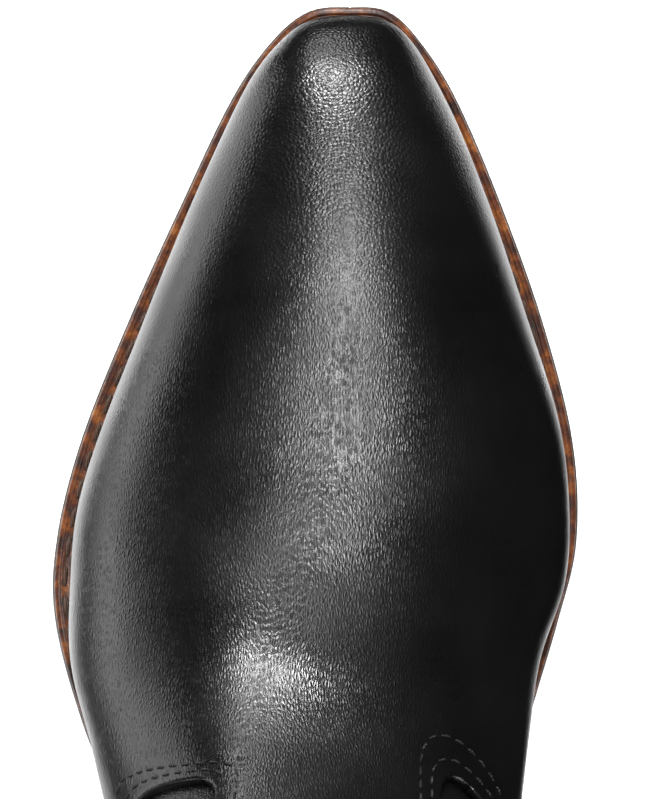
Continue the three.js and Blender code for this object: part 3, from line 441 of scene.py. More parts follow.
# ---- pattern pieces of the upper
PI = math.pi
COLUMN = PI / 15
UPPER_SPAN = (-2.5, 2.5)
COUNTER_SPAN = (1.0, 2 * PI - 1.0)
FRONT_SPAN = (-11 * COLUMN, 11 * COLUMN)
BACK_SPAN = (4 * COLUMN, 26 * COLUMN)
TOP_K = 23.7
VAMP_LAP = 9.0
COUNTER_LAP = 6.0
LAP_GAP = 1.4
INTERLINING_FRONT_Y = -112.0
LINING_SPLIT = 12.0
LINING_GAP = 0.03
HALF_SEAM = 0.35


def in_vamp(p, k, turn):
    return most(below_feather(p), outside_vamp_top(p), p[..., 1] - VAMP_END_Y)


def in_counter(p, k, turn):
    return most(below_feather(p), VAMP_END_Y + PANEL_GAP - p[..., 1], over_counter(p))


def over_interlining(p):
    return join_regions(over_vamp_side(p) + VAMP_LAP, p[..., 1] - INTERLINING_FRONT_Y, 2)


def in_shaft_front(p, k, turn):
    return most(
        LAP_GAP - over_interlining(p),
        LAP_GAP - over_counter(p) - COUNTER_LAP,
        behind_seam(p) + HALF_SEAM,
        over_topline(p, turn),
    )


def in_shaft_back(p, k, turn):
    return most(
        LAP_GAP - over_counter(p) - COUNTER_LAP, HALF_SEAM - behind_seam(p), over_topline(p, turn)
    )


def in_vamp_lining(p, k, turn):
    return most(below_feather(p), k - LINING_SPLIT)


def outside_leg_lining(p, k, turn):
    return most(below_feather(p), LINING_SPLIT + LINING_GAP - k, over_topline(p, turn))


def in_lining_front(p, k, turn):
    return most(outside_leg_lining(p, k, turn), behind_seam(p) + HALF_SEAM)


def in_lining_back(p, k, turn):
    return most(outside_leg_lining(p, k, turn), HALF_SEAM - behind_seam(p))


ANKLE_Z = 158
ANKLE_SPREAD = 40
FOLD_LENGTH = 7.5
FOLD_DEPTH = 0.9


def slack(p, k, turn):
    """Soft folds above the ankle, shared by every layer of the leg."""
    z = p[..., 2]
    ankle = np.exp(-(((z - ANKLE_Z) / ANKLE_SPREAD) ** 2))
    fold = 0.5 - 0.5 * np.sin(z / FOLD_LENGTH + 1.2 * np.sin(turn * 1.5))
    broad = 0.3 * np.sin(z / 29 + turn * 2) * smoothstep((z - 120) / 60) * smoothstep((285 - z) / 40)
    return broad - FOLD_DEPTH * fold * ankle


def lasted_slack(p, k, turn):
    """The same folds, with the faint unevenness that lasting leaves on the vamp."""
    x, y, z = p[..., 0], p[..., 1], p[..., 2]
    ripple = 0.05 * np.sin(y / 2.9 + 0.9 * np.sin(x / 13)) * np.exp(-((x / 26) ** 2))
    broad = 0.08 * np.sin(y / 9.5 + x / 17 + 1.3) + 0.06 * np.sin(y / 17 - x / 9)
    pulled = 0.08 * np.exp(-(z - feather_z(y)) / 5) * np.sin(turn * 47 + k * 3)
    return (ripple + broad + pulled) * smoothstep((110 - z) / 40) + slack(p, k, turn)


# ---- edges of the sole
def sole_at(side, q):
    rows = through_rows(SOLE_OUTLINE, np.asarray(q, float) + 1)
    return np.stack([np.where(np.asarray(side) > 0, rows[..., 1], rows[..., 2]), rows[..., 0]], -1)


def sole_point(side, p, inset=0.0):
    """Point of the sole's edge; side 1 is the outer side of the foot, inset moves it inwards."""
    side, p, inset = np.broadcast_arrays(np.asarray(side, float), np.asarray(p, float), inset)
    ahead = unit(sole_at(side, p + STEP) - sole_at(side, p - STEP))
    inwards = np.stack([-ahead[..., 1], ahead[..., 0]], -1) * side[..., None]
    return sole_at(side, p) + inwards * inset[..., None]


def outline_station(y):
    low, high = 1.0, OUTLINE_ROWS - 1.0
    for _ in range(30):
        middle = (low + high) / 2
        if sole_at(1, middle)[1] < y:
            low = middle
        else:
            high = middle
    return low


BREAST_STATION = outline_station(BREAST_Y)
RAND_GAP = 0.3


def even_stops(p0, p1, side, spacing):
    fine = np.linspace(p0, p1, 1500)
    steps = np.linalg.norm(np.diff(sole_at(side, fine), axis=0), axis=1)
    length = np.concatenate([[0], np.cumsum(steps)])
    count = max(3, int(length[-1] / spacing) + 1)
    return np.interp(np.linspace(0, length[-1], count), length, fine)


def both_sides(lateral, medial):
    return np.r_[np.ones(len(lateral)), -np.ones(len(medial))], np.r_[lateral, medial]


def stops_round_toe(spacing):
    """Sides and stations from the outer breast corner round the toe to the inner one."""
    lateral = even_stops(0, BREAST_STATION, 1, spacing)[::-1]
    return both_sides(lateral, even_stops(0, BREAST_STATION, -1, spacing)[1:])


def stops_round_heel(spacing):
    start = outline_station(BREAST_Y + RAND_GAP)
    medial = even_stops(start, OUTLINE_ROWS, -1, spacing)[::-1]
    return both_sides(even_stops(start, OUTLINE_ROWS, 1, spacing), medial[1:])


def lifted(points, rise):
    """Points of the plan raised over the sole's underside."""
    return np.concatenate([points, (underside_z(points[..., 1]) + rise)[..., None]], -1)


def clean(obj):
    """Merges doubled corners and makes the faces look outwards."""
    mesh = bmesh.new()
    mesh.from_mesh(obj.data)
    bmesh.ops.remove_doubles(mesh, verts=mesh.verts, dist=4e-6)
    bmesh.ops.dissolve_degenerate(mesh, edges=mesh.edges, dist=1e-7)
    bmesh.ops.recalc_face_normals(mesh, faces=mesh.faces)
    mesh.to_mesh(obj.data)
    mesh.free()
    obj.data.polygons.foreach_set("use_smooth", [True] * len(obj.data.polygons))
    obj.data.update()
    return obj


def grid_faces(rows, columns, closed_rows=False, closed_columns=False):
    faces = []
    for i in range(rows if closed_rows else rows - 1):
        for j in range(columns if closed_columns else columns - 1):
            a, b = i * columns + j, i * columns + (j + 1) % columns
            c, d = ((i + 1) % rows) * columns + (j + 1) % columns, ((i + 1) % rows) * columns + j
            faces.append((a, b, c, d))
    return faces


def swept(name, rings, closed=False):
    """A solid swept through rings of points, shape (rings, points in a ring, 3)."""
    rings = np.asarray(rings)
    rows, columns = rings.shape[:2]
    faces = grid_faces(rows, columns, closed_rows=closed, closed_columns=True)
    if not closed:
        faces.append(tuple(range(columns)))
        faces.append(tuple(reversed(range((rows - 1) * columns, rows * columns))))
    return clean(mesh_object(name, rings.reshape(-1, 3), faces))


def tube(name, centres, normals, radius, sides=10):
    across = unit(np.cross(unit(np.gradient(centres, axis=0)), normals))
    angles = np.linspace(0, 2 * PI, sides, endpoint=False)
    rings = [centres + radius * (np.cos(a) * normals + np.sin(a) * across) for a in angles]
    return swept(name, np.stack(rings, 1))


def strip_profile(outer, inner, low, high, rounding, dips=()):
    """Cross-section of a strip as (inset, rise) pairs, going round from the lower outer edge."""
    r = rounding
    quarter = [math.radians(a) for a in (0, 30, 60, 90)]
    points = [(outer + r - r * math.cos(a), high - r + r * math.sin(a)) for a in quarter]
    points += list(dips)
    points += [(inner - 0.3, high), (inner, high - 0.3), (inner, low + 0.3), (inner - 0.3, low)]
    points += [(outer + r - r * math.sin(a), low + r - r * math.cos(a)) for a in quarter]
    return np.array(points)


def edge_strip(name, stops, profile):
    sides, stations = stops
    rings = [lifted(sole_point(sides, stations, inset), rise) for inset, rise in profile]
    return swept(name, np.stack(rings, 1))


# ---- stitches
def resample(points, values, spacing):
    """Points and directions an even spacing apart along a line."""
    length = np.r_[0, np.cumsum(np.linalg.norm(np.diff(points, axis=0), axis=1))]
    count = max(2, int(round(length[-1] / spacing)))
    at = np.linspace(0, length[-1], count + 1)

    def pick(table):
        return np.stack([np.interp(at, length, table[:, n]) for n in range(3)], 1)

    return pick(points), unit(pick(values))


STITCH_SIDES = 7
STITCH_RINGS = 6


def stitch_rings(centre, up, fore, side, length, radius, sunk):
    """Corners of one stitch: a short bead of thread whose ends go down into the leather."""
    corners = []
    for i in range(STITCH_RINGS):
        share = i / (STITCH_RINGS - 1)
        swell = math.sin(PI * (0.08 + 0.84 * share)) ** 0.5
        lift = radius * (1 - sunk) - radius * 1.6 * (2 * share - 1) ** 4
        middle = centre + fore * length * (share - 0.5) + up * lift
        for j in range(STITCH_SIDES):
            a = 2 * PI * j / STITCH_SIDES
            corners.append(middle + radius * swell * (math.cos(a) * up + math.sin(a) * side))
    return corners


def stitches(name, lines, pitch, length, radius, sunk=0.35):
    """Rows of single stitches."""
    last = (STITCH_RINGS - 1) * STITCH_SIDES
    one_stitch = grid_faces(STITCH_RINGS, STITCH_SIDES, closed_columns=True)
    one_stitch += [tuple(reversed(range(STITCH_SIDES))), tuple(range(last, last + STITCH_SIDES))]
    points, faces = [], []
    for centres, normals in lines:
        centres, normals = resample(centres, normals, pitch)
        ahead = unit(np.gradient(centres, axis=0))
        across = unit(np.cross(ahead, normals))
        for centre, up, fore, side in zip(centres, normals, ahead, across):
            faces += [tuple(len(points) + n for n in face) for face in one_stitch]
            points += stitch_rings(centre, up, fore, side, length, radius, sunk)
    return clean(mesh_object(name, points, faces))


SEAM_CELL = 1.2
SEAM_END_GAP = 1.2
SHORTEST_SEAM = 8


def seam_lines(main, others, inset, k_range, turn_range):
    """Lines that keep a distance inside one edge of a leather piece."""
    def outside(p, k, turn):
        return most(main(p) + inset, *(other(p) + SEAM_END_GAP for other in others))

    k, turn, faces = march(outside, even_stations(*k_range, SEAM_CELL), turn_stops(turn_range, SEAM_CELL))
    on_edge = np.abs(main(surface(k, turn)) + inset) < 0.12
    lines = []
    for loop in boundary_loops(faces):
        flags = on_edge[loop]
        if not flags.any():
            continue
        first = int(np.argmin(flags))
        loop = loop[first:] + loop[:first]
        run = []
        for n in loop + [None]:
            if n is not None and on_edge[n]:
                run.append(n)
                continue
            if len(run) > SHORTEST_SEAM:
                kk, tt = k[run], turn[run]
                lines.append((layer(kk, tt, lasted_slack(surface(kk, tt), kk, tt)), normal(kk, tt)))
            run = []
    return lines


# ---- materials
class Nodes:
    """Builds one material's nodes."""

    def __init__(self, name):
        self.material = bpy.data.materials.new(name)
        self.material.use_nodes = True
        self.tree = self.material.node_tree
        self.shader = self.tree.nodes["Principled BSDF"]
        coordinates = self.tree.nodes.new("ShaderNodeTexCoord")
        self.place = coordinates.outputs["Object"]

    def add(self, kind, **settings):
        node = self.tree.nodes.new(kind)
        for key, value in settings.items():
            if hasattr(node, key):
                setattr(node, key, value)
            else:
                node.inputs[key.replace("_", " ")].default_value = value
        return node

    def link(self, source, target):
        self.tree.links.new(source, target)

    def scaled(self, scale, source=None):
        node = self.add("ShaderNodeMapping")
        node.inputs["Scale"].default_value = scale
        self.link(source or self.place, node.inputs["Vector"])
        return node.outputs["Vector"]

    def noise(self, scale, detail=2.0, vector=None, roughness=0.5):
        node = self.add("ShaderNodeTexNoise", Scale=scale, Detail=detail, Roughness=roughness)
        self.link(vector or self.place, node.inputs["Vector"])
        return node

    def voronoi(self, scale, vector=None, feature="F1", randomness=1.0):
        node = self.add("ShaderNodeTexVoronoi", feature=feature, Scale=scale, Randomness=randomness)
        self.link(vector or self.place, node.inputs["Vector"])
        return node

    def math(self, operation, a, b):
        node = self.add("ShaderNodeMath", operation=operation)
        for socket, value in zip(node.inputs, (a, b)):
            if isinstance(value, (int, float)):
                socket.default_value = value
            else:
                self.link(value, socket)
        return node.outputs[0]

    def remap(self, value, low, high, to_low=0.0, to_high=1.0):
        node = self.add("ShaderNodeMapRange")
        node.inputs["From Min"].default_value = low
        node.inputs["From Max"].default_value = high
        node.inputs["To Min"].default_value = to_low
        node.inputs["To Max"].default_value = to_high
        self.link(value, node.inputs["Value"])
        return node.outputs["Result"]

    def ramp(self, value, *stops):
        node = self.add("ShaderNodeValToRGB")
        elements = node.color_ramp.elements
        while len(elements) < len(stops):
            elements.new(0.5)
        for element, (position, colour) in zip(elements, stops):
            element.position = position
            element.color = (*colour, 1)
        self.link(value, node.inputs["Fac"])
        return node.outputs["Color"]

    def multiplied(self, a, b):
        """Two colours multiplied."""
        node = self.add("ShaderNodeMix", data_type="RGBA", blend_type="MULTIPLY")
        node.inputs["Factor"].default_value = 1.0
        self.link(a, node.inputs[6])
        self.link(b, node.inputs[7])
        return node.outputs[2]

    def bump(self, height, distance):
        node = self.add("ShaderNodeBump", Distance=distance, Strength=1.0)
        self.link(height, node.inputs["Height"])
        return node.outputs["Normal"]

    def finish(self, colour, roughness, normal=None, **constants):
        for socket, value in (("Base Color", colour), ("Roughness", roughness)):
            if isinstance(value, tuple):
                self.shader.inputs[socket].default_value = (*value, 1)
            elif isinstance(value, (int, float)):
                self.shader.inputs[socket].default_value = value
            else:
                self.link(value, self.shader.inputs[socket])
        if normal is not None:
            self.link(normal, self.shader.inputs["Normal"])
        for key, value in constants.items():
            self.shader.inputs[key.replace("_", " ")].default_value = value
        return self.material


# The pebble pattern is tilted, so that no large part of the boot runs along one of its layers.
GRAIN_TILT = (0.5, 0.62, 0.3)
# Between these places, in metres from toe to heel, the vamp's pebbles give way to fine lines.
LINES_START_Y = -0.205
LINES_FULL_Y = -0.170


def black_leather(name, pebble=0.00074, streaks=False, depth=0.00006, roughness=0.3):
    """Semi-gloss black calf: round pebbles, which give way to fine lines behind the toe of the vamp, with
    painted shade that darkens the colour in the grain's creases.
    """
    n = Nodes(name)
    wander = n.noise(160, 2.0)
    moved = n.add("ShaderNodeVectorMath", operation="MULTIPLY_ADD")
    n.link(wander.outputs["Color"], moved.inputs[0])
    moved.inputs[1].default_value = (0.0005, 0.0005, 0.0005)
    n.link(n.place, moved.inputs[2])
    place = moved.outputs["Vector"]
    tilted = n.add("ShaderNodeMapping", vector_type="POINT")
    n.link(place, tilted.inputs["Vector"])
    tilted.inputs["Rotation"].default_value = GRAIN_TILT
    spread = tilted.outputs["Vector"]
    pebbles = n.voronoi(1 / pebble, spread, "F1", 1.0)
    dome = n.remap(pebbles.outputs["Distance"], 0.0, 0.8, 1.0, 0.0)
    creases = n.voronoi(1 / pebble, spread, "DISTANCE_TO_EDGE", 1.0).outputs["Distance"]
    height = n.math("ADD", n.math("MULTIPLY", dome, 0.5), n.remap(creases, 0.0, 0.4, 0.0, 0.6))
    if streaks:
        lines = n.voronoi(1 / pebble, n.scaled((1.45, 0.55, 0.7), place), "DISTANCE_TO_EDGE", 1.0)
        line_height = n.remap(lines.outputs["Distance"], 0.0, 0.42, 0.0, 0.6)
        split = n.add("ShaderNodeSeparateXYZ")
        n.link(n.place, split.inputs[0])
        behind = n.remap(split.outputs["Y"], LINES_START_Y, LINES_FULL_Y)
        blend = n.add("ShaderNodeMix", data_type="FLOAT")
        n.link(behind, blend.inputs[0])
        n.link(height, blend.inputs[2])
        n.link(line_height, blend.inputs[3])
        height = blend.outputs[0]
    fine = n.noise(5200, 2.0).outputs["Fac"]
    height = n.math("ADD", height, n.math("MULTIPLY", fine, 0.18))
    scuffs = n.noise(38, 4.0, roughness=0.65).outputs["Fac"]
    tone = n.ramp(scuffs, (0.35, (0.0016, 0.0016, 0.0017)), (0.7, (0.0030, 0.0029, 0.0028)))
    # Painted shade: the colour drops to half along the grain's creases.
    crease_shade = n.remap(creases, 0.02, 0.1, 0.7, 1.0)
    colour = n.multiplied(tone, n.ramp(crease_shade, (0.5, (0.5, 0.5, 0.5)), (1.0, (1, 1, 1))))
    gloss = n.remap(n.noise(70, 3.0).outputs["Fac"], 0.3, 0.7, roughness - 0.04, roughness + 0.05)
    return n.finish(colour, gloss, n.bump(height, depth), Specular_IOR_Level=0.5)


def soft_leather(name, dark, light, roughness, grain=0.0009, depth=0.00012):
    """Lining leather: matt, finely wrinkled, a little uneven in colour."""
    n = Nodes(name)
    patches = n.noise(55, 4.0, roughness=0.6).outputs["Fac"]
    colour = n.ramp(patches, (0.3, dark), (0.72, light))
    pores = n.voronoi(1 / grain, None, "F1", 1.0).outputs["Distance"]
    wrinkles = n.noise(420, 4.0, roughness=0.6).outputs["Fac"]
    height = n.math("ADD", n.math("MULTIPLY", pores, 0.6), wrinkles)
    rough = n.remap(patches, 0.3, 0.7, roughness - 0.06, roughness + 0.08)
    return n.finish(colour, rough, n.bump(height, depth), Specular_IOR_Level=0.35)


def welt_leather():
    """Cognac veg-tan with an antiqued, mottled finish: amber where rubbed, near black in the hollows."""
    n = Nodes("welt_leather")
    clouds = n.noise(230, 5.0, roughness=0.68).outputs["Fac"]
    colour = n.ramp(
        clouds,
        (0.36, (0.008, 0.003, 0.002)),
        (0.47, (0.042, 0.010, 0.003)),
        (0.57, (0.115, 0.031, 0.006)),
        (0.72, (0.27, 0.10, 0.022)),
    )
    specks = n.voronoi(1900, None, "F1", 1.0).outputs["Distance"]
    speck = n.remap(specks, 0.05, 0.2, 0.55, 1.0)
    colour = n.multiplied(colour, n.ramp(speck, (0.5, (0.4, 0.3, 0.25)), (1.0, (1, 1, 1))))
    fibres = n.noise(900, 3.0, n.scaled((1.0, 0.45, 1.0))).outputs["Fac"]
    rough = n.remap(clouds, 0.35, 0.65, 0.5, 0.34)
    return n.finish(colour, rough, n.bump(fibres, 0.00018), Specular_IOR_Level=0.5)


def patterned(n, pattern, tones, rough, relief, **constants):
    """Colour, roughness and relief that all follow one pattern."""
    return n.finish(n.ramp(pattern, *tones), n.remap(pattern, *rough), n.bump(pattern, relief), **constants)


def sole_leather(name, dark, light, roughness):
    """Dense sole bend: brushed fibres along the boot and darker burnishing."""
    n = Nodes(name)
    burnish = n.noise(60, 4.0, roughness=0.6).outputs["Fac"]
    colour = n.ramp(burnish, (0.32, dark), (0.7, light))
    fibres = n.noise(1500, 3.0, n.scaled((1.0, 0.25, 1.0))).outputs["Fac"]
    rough = n.remap(burnish, 0.3, 0.7, roughness - 0.07, roughness + 0.08)
    return n.finish(colour, rough, n.bump(fibres, 0.0001), Specular_IOR_Level=0.5)


def stacked_leather():
    """Heel lifts: layered brown leather with waxed, burnished sides."""
    n = Nodes("heel_stack")
    grain = n.noise(900, 3.0, n.scaled((0.35, 0.35, 2.5))).outputs["Fac"]
    tone = n.noise(48, 3.0, n.scaled((1.0, 1.0, 3.0))).outputs["Fac"]
    both = n.math("ADD", n.math("MULTIPLY", grain, 0.45), n.math("MULTIPLY", tone, 0.6))
    colour = n.ramp(both, (0.35, (0.016, 0.0075, 0.0042)), (0.7, (0.060, 0.026, 0.012)))
    rough = n.remap(grain, 0.3, 0.7, 0.28, 0.42)
    return n.finish(colour, rough, n.bump(grain, 0.00008), Specular_IOR_Level=0.5)


def waxed_thread(name, dark, light):
    """Twisted waxed thread."""
    n = Nodes(name)
    twist = n.add("ShaderNodeTexWave", Scale=900.0, Distortion=2.0)
    n.link(n.scaled((1.0, 1.0, 0.6)), twist.inputs["Vector"])
    colour = n.ramp(twist.outputs["Fac"], (0.2, dark), (0.9, light))
    rough = n.remap(n.noise(2200, 1.0).outputs["Fac"], 0.3, 0.7, 0.45, 0.62)
    return n.finish(colour, rough, n.bump(twist.outputs["Fac"], 0.0001))


def cork():
    n = Nodes("cork")
    grains = n.voronoi(620, None, "F1", 1.0)
    colour = n.ramp(grains.outputs["Color"], (0.15, (0.20, 0.11, 0.05)), (0.85, (0.46, 0.29, 0.15)))
    return n.finish(colour, 0.85, n.bump(grains.outputs["Distance"], 0.0004))


def fibre_board():
    n = Nodes("fibre_board")
    fibres = n.noise(1400, 5.0, roughness=0.7).outputs["Fac"]
    tones = ((0.3, (0.20, 0.14, 0.09)), (0.75, (0.36, 0.27, 0.18)))
    return patterned(n, fibres, tones, (0.3, 0.7, 0.75, 0.9), 0.00015)


def peg_wood():
    n = Nodes("peg_wood")
    rings = n.add("ShaderNodeTexWave", wave_type="RINGS", Scale=420.0, Distortion=3.0)
    n.link(n.scaled((1.0, 1.0, 0.1)), rings.inputs["Vector"])
    tones = ((0.2, (0.30, 0.18, 0.09)), (0.85, (0.52, 0.36, 0.20)))
    return patterned(n, rings.outputs["Fac"], tones, (0.0, 1.0, 0.55, 0.7), 0.00008)


def heel_rubber():
    n = Nodes("heel_rubber")
    dust = n.noise(240, 5.0, roughness=0.7).outputs["Fac"]
    colour = n.ramp(dust, (0.35, (0.010, 0.010, 0.010)), (0.75, (0.034, 0.032, 0.030)))
    nubs = n.voronoi(1100, None, "SMOOTH_F1", 0.6).outputs["Distance"]
    rough = n.remap(dust, 0.3, 0.7, 0.62, 0.8)
    return n.finish(colour, rough, n.bump(nubs, 0.00018))


def brushed_steel():
    n = Nodes("brushed_steel")
    lines = n.noise(2600, 2.0, n.scaled((1.0, 0.08, 1.0))).outputs["Fac"]
    tones = ((0.3, (0.42, 0.43, 0.45)), (0.7, (0.60, 0.61, 0.62)))
    return patterned(n, lines, tones, (0.3, 0.7, 0.25, 0.42), 0.00003, Metallic=1.0)


VAMP_LEATHER = black_leather("vamp_leather", streaks=True)
SHAFT_LEATHER = black_leather("shaft_leather", pebble=0.0007, depth=0.00007, roughness=0.34)
TRIM_LEATHER = black_leather("trim_leather", pebble=0.0006, depth=0.00005, roughness=0.38)
LINING = soft_leather("tan_lining", (0.24, 0.125, 0.058), (0.40, 0.235, 0.125), 0.68)
SOCK = soft_leather("sock_leather", (0.20, 0.10, 0.045), (0.35, 0.20, 0.10), 0.6)
WELT = welt_leather()
SOLE = sole_leather("sole_edge", (0.010, 0.006, 0.004), (0.040, 0.020, 0.011), 0.42)
STACK = stacked_leather()
THREAD = waxed_thread("upper_thread", (0.002, 0.002, 0.002), (0.008, 0.008, 0.008))
WELT_THREAD = waxed_thread("welt_thread_wax", (0.010, 0.004, 0.002), (0.075, 0.030, 0.010))
CORK = cork()
BOARD = fibre_board()
WOOD = peg_wood()
RUBBER = heel_rubber()
STEEL = brushed_steel()

# ---- upper
# name, pattern, depths, stations, turns, cell, edge rounding, folds, material, slot, CAD node
UPPER_PIECES = (
    ("vamp_quarter", in_vamp, VAMP_DEPTHS, (0.04, 18.12), UPPER_SPAN, 1.5, 0.55, lasted_slack,
     VAMP_LEATHER, "black_leather", "vamp"),
    ("heel_counter", in_counter, VAMP_DEPTHS, (11.2, 18.2), COUNTER_SPAN, 1.8, 0.55, lasted_slack,
     VAMP_LEATHER, "black_leather", "counter_cover"),
    ("shaft_front_panel", in_shaft_front, MIDDLE, (9.5, TOP_K), FRONT_SPAN, 2.4, 0.4, slack,
     SHAFT_LEATHER, "black_leather", "shaft_front"),
    ("shaft_back_panel", in_shaft_back, MIDDLE, (12.5, TOP_K), BACK_SPAN, 2.4, 0.4, slack,
     SHAFT_LEATHER, "black_leather", "shaft_back"),
    ("forefoot_lining", in_vamp_lining, INNER, (0.5, 12.6), UPPER_SPAN, 3.0, 0.3, None,
     LINING, "tan_lining", "vamp_lining"),
    ("front_lining", in_lining_front, INNER, (11.5, TOP_K), FRONT_SPAN, 3.0, 0.3, slack,
     LINING, "tan_lining", "shaft_lining_front"),
    ("back_lining", in_lining_back, INNER, (11.5, TOP_K), BACK_SPAN, 3.0, 0.3, slack,
     LINING, "tan_lining", "shaft_lining_back"),
)
for name, *shape, material, slot, node in UPPER_PIECES:
    finish_piece(leather_patch(name, *shape), material, replaced=[node])


def bisect(function, low, high, count=30):
    """Where an increasing function crosses zero, for arrays of brackets."""
    low, high = np.broadcast_arrays(np.asarray(low, float), np.asarray(high, float))
    for _ in range(count):
        middle = (low + high) / 2
        under = function(middle) < 0
        low, high = np.where(under, middle, low), np.where(under, high, middle)
    return low


def topline_section(turn):
    turn = np.asarray(turn, float)
    return bisect(lambda k: surface(k, turn)[..., 2] - topline(turn), 18.0 + 0 * turn, 23.9)


# The binding: a folded strip over the top edge of the leg
TOP_COLUMNS = 240
BINDING_STITCH_DROP = 6.6
BINDING_DEPTH = 9.0
BINDING_GAP = 0.6
BINDING_THICKNESS = 1.0
BIND_OUT = MIDDLE[0] + 0.3
BIND_IN = INNER[1] - 0.3


def binding_profile():
    """(depth, height) pairs round the folded strip."""
    out, inn, t = BIND_OUT, BIND_IN, BINDING_THICKNESS
    centre = (out + inn) / 2
    outer_span, inner_span = (out - inn) / 2 + t, (out - inn) / 2
    arch = np.linspace(0, PI, 13)
    crown = BINDING_GAP
    outer = [(out + t - 0.3, -BINDING_DEPTH), (out + t, -BINDING_DEPTH + 0.3)]
    outer += [(centre + outer_span * math.cos(a), crown + (t + 0.5) * math.sin(a) - 0.5) for a in arch]
    outer += [(inn - t, -BINDING_DEPTH + 0.3), (inn - t + 0.3, -BINDING_DEPTH)]
    inner = [(inn, -BINDING_DEPTH)]
    inner += [(centre - inner_span * math.cos(a), crown + 0.1 * math.sin(a) - 0.1) for a in arch]
    inner += [(out, -BINDING_DEPTH)]
    return outer + inner


def topline_frame(turns):
    k = topline_section(turns)
    climb = np.linalg.norm(surface(k + STEP, turns) - surface(k - STEP, turns), axis=-1) / (2 * STEP)
    return k, climb


turns = np.linspace(0, 2 * PI, TOP_COLUMNS, endpoint=False)
top_k, climb = topline_frame(turns)
rings = [
    layer(top_k + height / climb, turns, np.full(TOP_COLUMNS, depth)) for depth, height in binding_profile()
]
binding = swept("topline_bound_edge", np.stack(rings, 1), closed=True)
finish_piece(binding, TRIM_LEATHER, replaced=["topline_binding"])

# Side seam pipings, which stop just under the pull straps
STRAP_WIDTH = 28.0
STRAP_THICKNESS = 2.4
STRAP_OUTER_LEG = 46.0
STRAP_INNER_LEG = 30.0
PIPING_RADIUS = 1.2
SIDES = (("lateral", 1), ("medial", -1))


def seam_turn(side, k):
    return side * bisect(lambda t: behind_seam(surface(k, side * t)), 0.6 + 0 * k, 2.5)


for label, side in SIDES:
    k = np.linspace(14.0, 23.5, 400)
    turn = seam_turn(side, k)
    along_seam = surface(k, turn)
    top_z = float(topline(side * PI / 2)) - STRAP_OUTER_LEG - 1
    keep = (over_counter(along_seam) > 1.5) & (along_seam[:, 2] < top_z)
    k, turn = k[keep], turn[keep]
    extra = slack(surface(k, turn), k, turn)
    centres = layer(k, turn, MIDDLE[0] + 0.15 + PIPING_RADIUS * 0.8 + extra)
    centres, normals = resample(centres, normal(k, turn), 2.0)
    piping = tube(f"{label}_side_piping", centres, normals, PIPING_RADIUS)
    finish_piece(piping, TRIM_LEATHER, replaced=[f"{label}_seam_piping"])

# Pull straps: one folded strap on each side, with stitches round its outer leg, free over the topline
LOOP_HEIGHT = 34.0
LOOP_BULGE = 7.0
LOOP_START = 2.8
SETTLE_LENGTH = 6.0
STRAP_GAP = 0.3
OUTER_LEG_DEPTH = BIND_OUT + BINDING_THICKNESS + STRAP_GAP + STRAP_THICKNESS / 2
INNER_LEG_DEPTH = BIND_IN - BINDING_THICKNESS - STRAP_GAP - STRAP_THICKNESS / 2
STRAP_ROUNDING = 0.8
STRAP_CROWN = 0.15
STRAP_COLUMNS = 15

# Distance of the straps' hinge axis from the middle, in metres; strap() computes a point from it that
# nothing uses
HINGE_X = 0.0482


def outer_leg_depth(height):
    """The outer leg steps down from the binding onto the shaft."""
    below = smoothstep((-BINDING_DEPTH - height) / SETTLE_LENGTH)
    return OUTER_LEG_DEPTH - BINDING_THICKNESS * below


def strap_path():
    """(depth, height over the topline) along the strap, from its outer end to its inner end."""
    middle = (OUTER_LEG_DEPTH + INNER_LEG_DEPTH) / 2
    half = (OUTER_LEG_DEPTH - INNER_LEG_DEPTH) / 2
    path = [(outer_leg_depth(h), h) for h in np.arange(-STRAP_OUTER_LEG, 2.0, 1.6)]
    for a in np.linspace(0, PI, 44):
        spread = half + LOOP_BULGE * math.sin(2 * min(a, PI - a)) ** 1.2
        height = LOOP_START + (LOOP_HEIGHT - LOOP_START) * math.sin(a) ** 0.8
        path.append((middle + spread * math.cos(a), height))
    path += [(INNER_LEG_DEPTH, h) for h in np.arange(2.0, -STRAP_INNER_LEG, -1.6)]
    return np.array(path)


def smooth_path(path, rounds=6):
    for _ in range(rounds):
        path[1:-1] = (path[:-2] + 2 * path[1:-1] + path[2:]) / 4
    return path


def place_on_side(side, y, height, depth):
    """Point at y and at a height over the side topline, a depth outside the leg's surface."""
    z = float(topline(side * PI / 2)) + height
    k = bisect(lambda q: surface(q, np.full_like(q, side * PI / 2))[..., 2] - z, 18.0 + 0 * z, 23.95)
    turn = side * bisect(lambda t: surface(k, side * t)[..., 1] - y, 0.8 + 0 * y, 2.4)
    points = layer(k, turn, depth)
    points[..., 2] = z
    return points, normal(k, turn)


def strap_section():
    """(across, through) pairs round the strap's cross-section."""
    flat, half_thick = STRAP_WIDTH / 2 - STRAP_ROUNDING, STRAP_THICKNESS / 2
    corner = [math.radians(a) for a in (60, 30, 0, -30, -60)]
    section = [(w, half_thick) for w in np.linspace(-flat, flat, STRAP_COLUMNS)]
    section += [(flat + STRAP_ROUNDING * math.cos(a), half_thick * math.sin(a)) for a in corner]
    section += [(w, -half_thick) for w in np.linspace(flat, -flat, STRAP_COLUMNS)]
    section += [(-flat - STRAP_ROUNDING * math.cos(a), half_thick * math.sin(a)) for a in reversed(corner)]
    return section


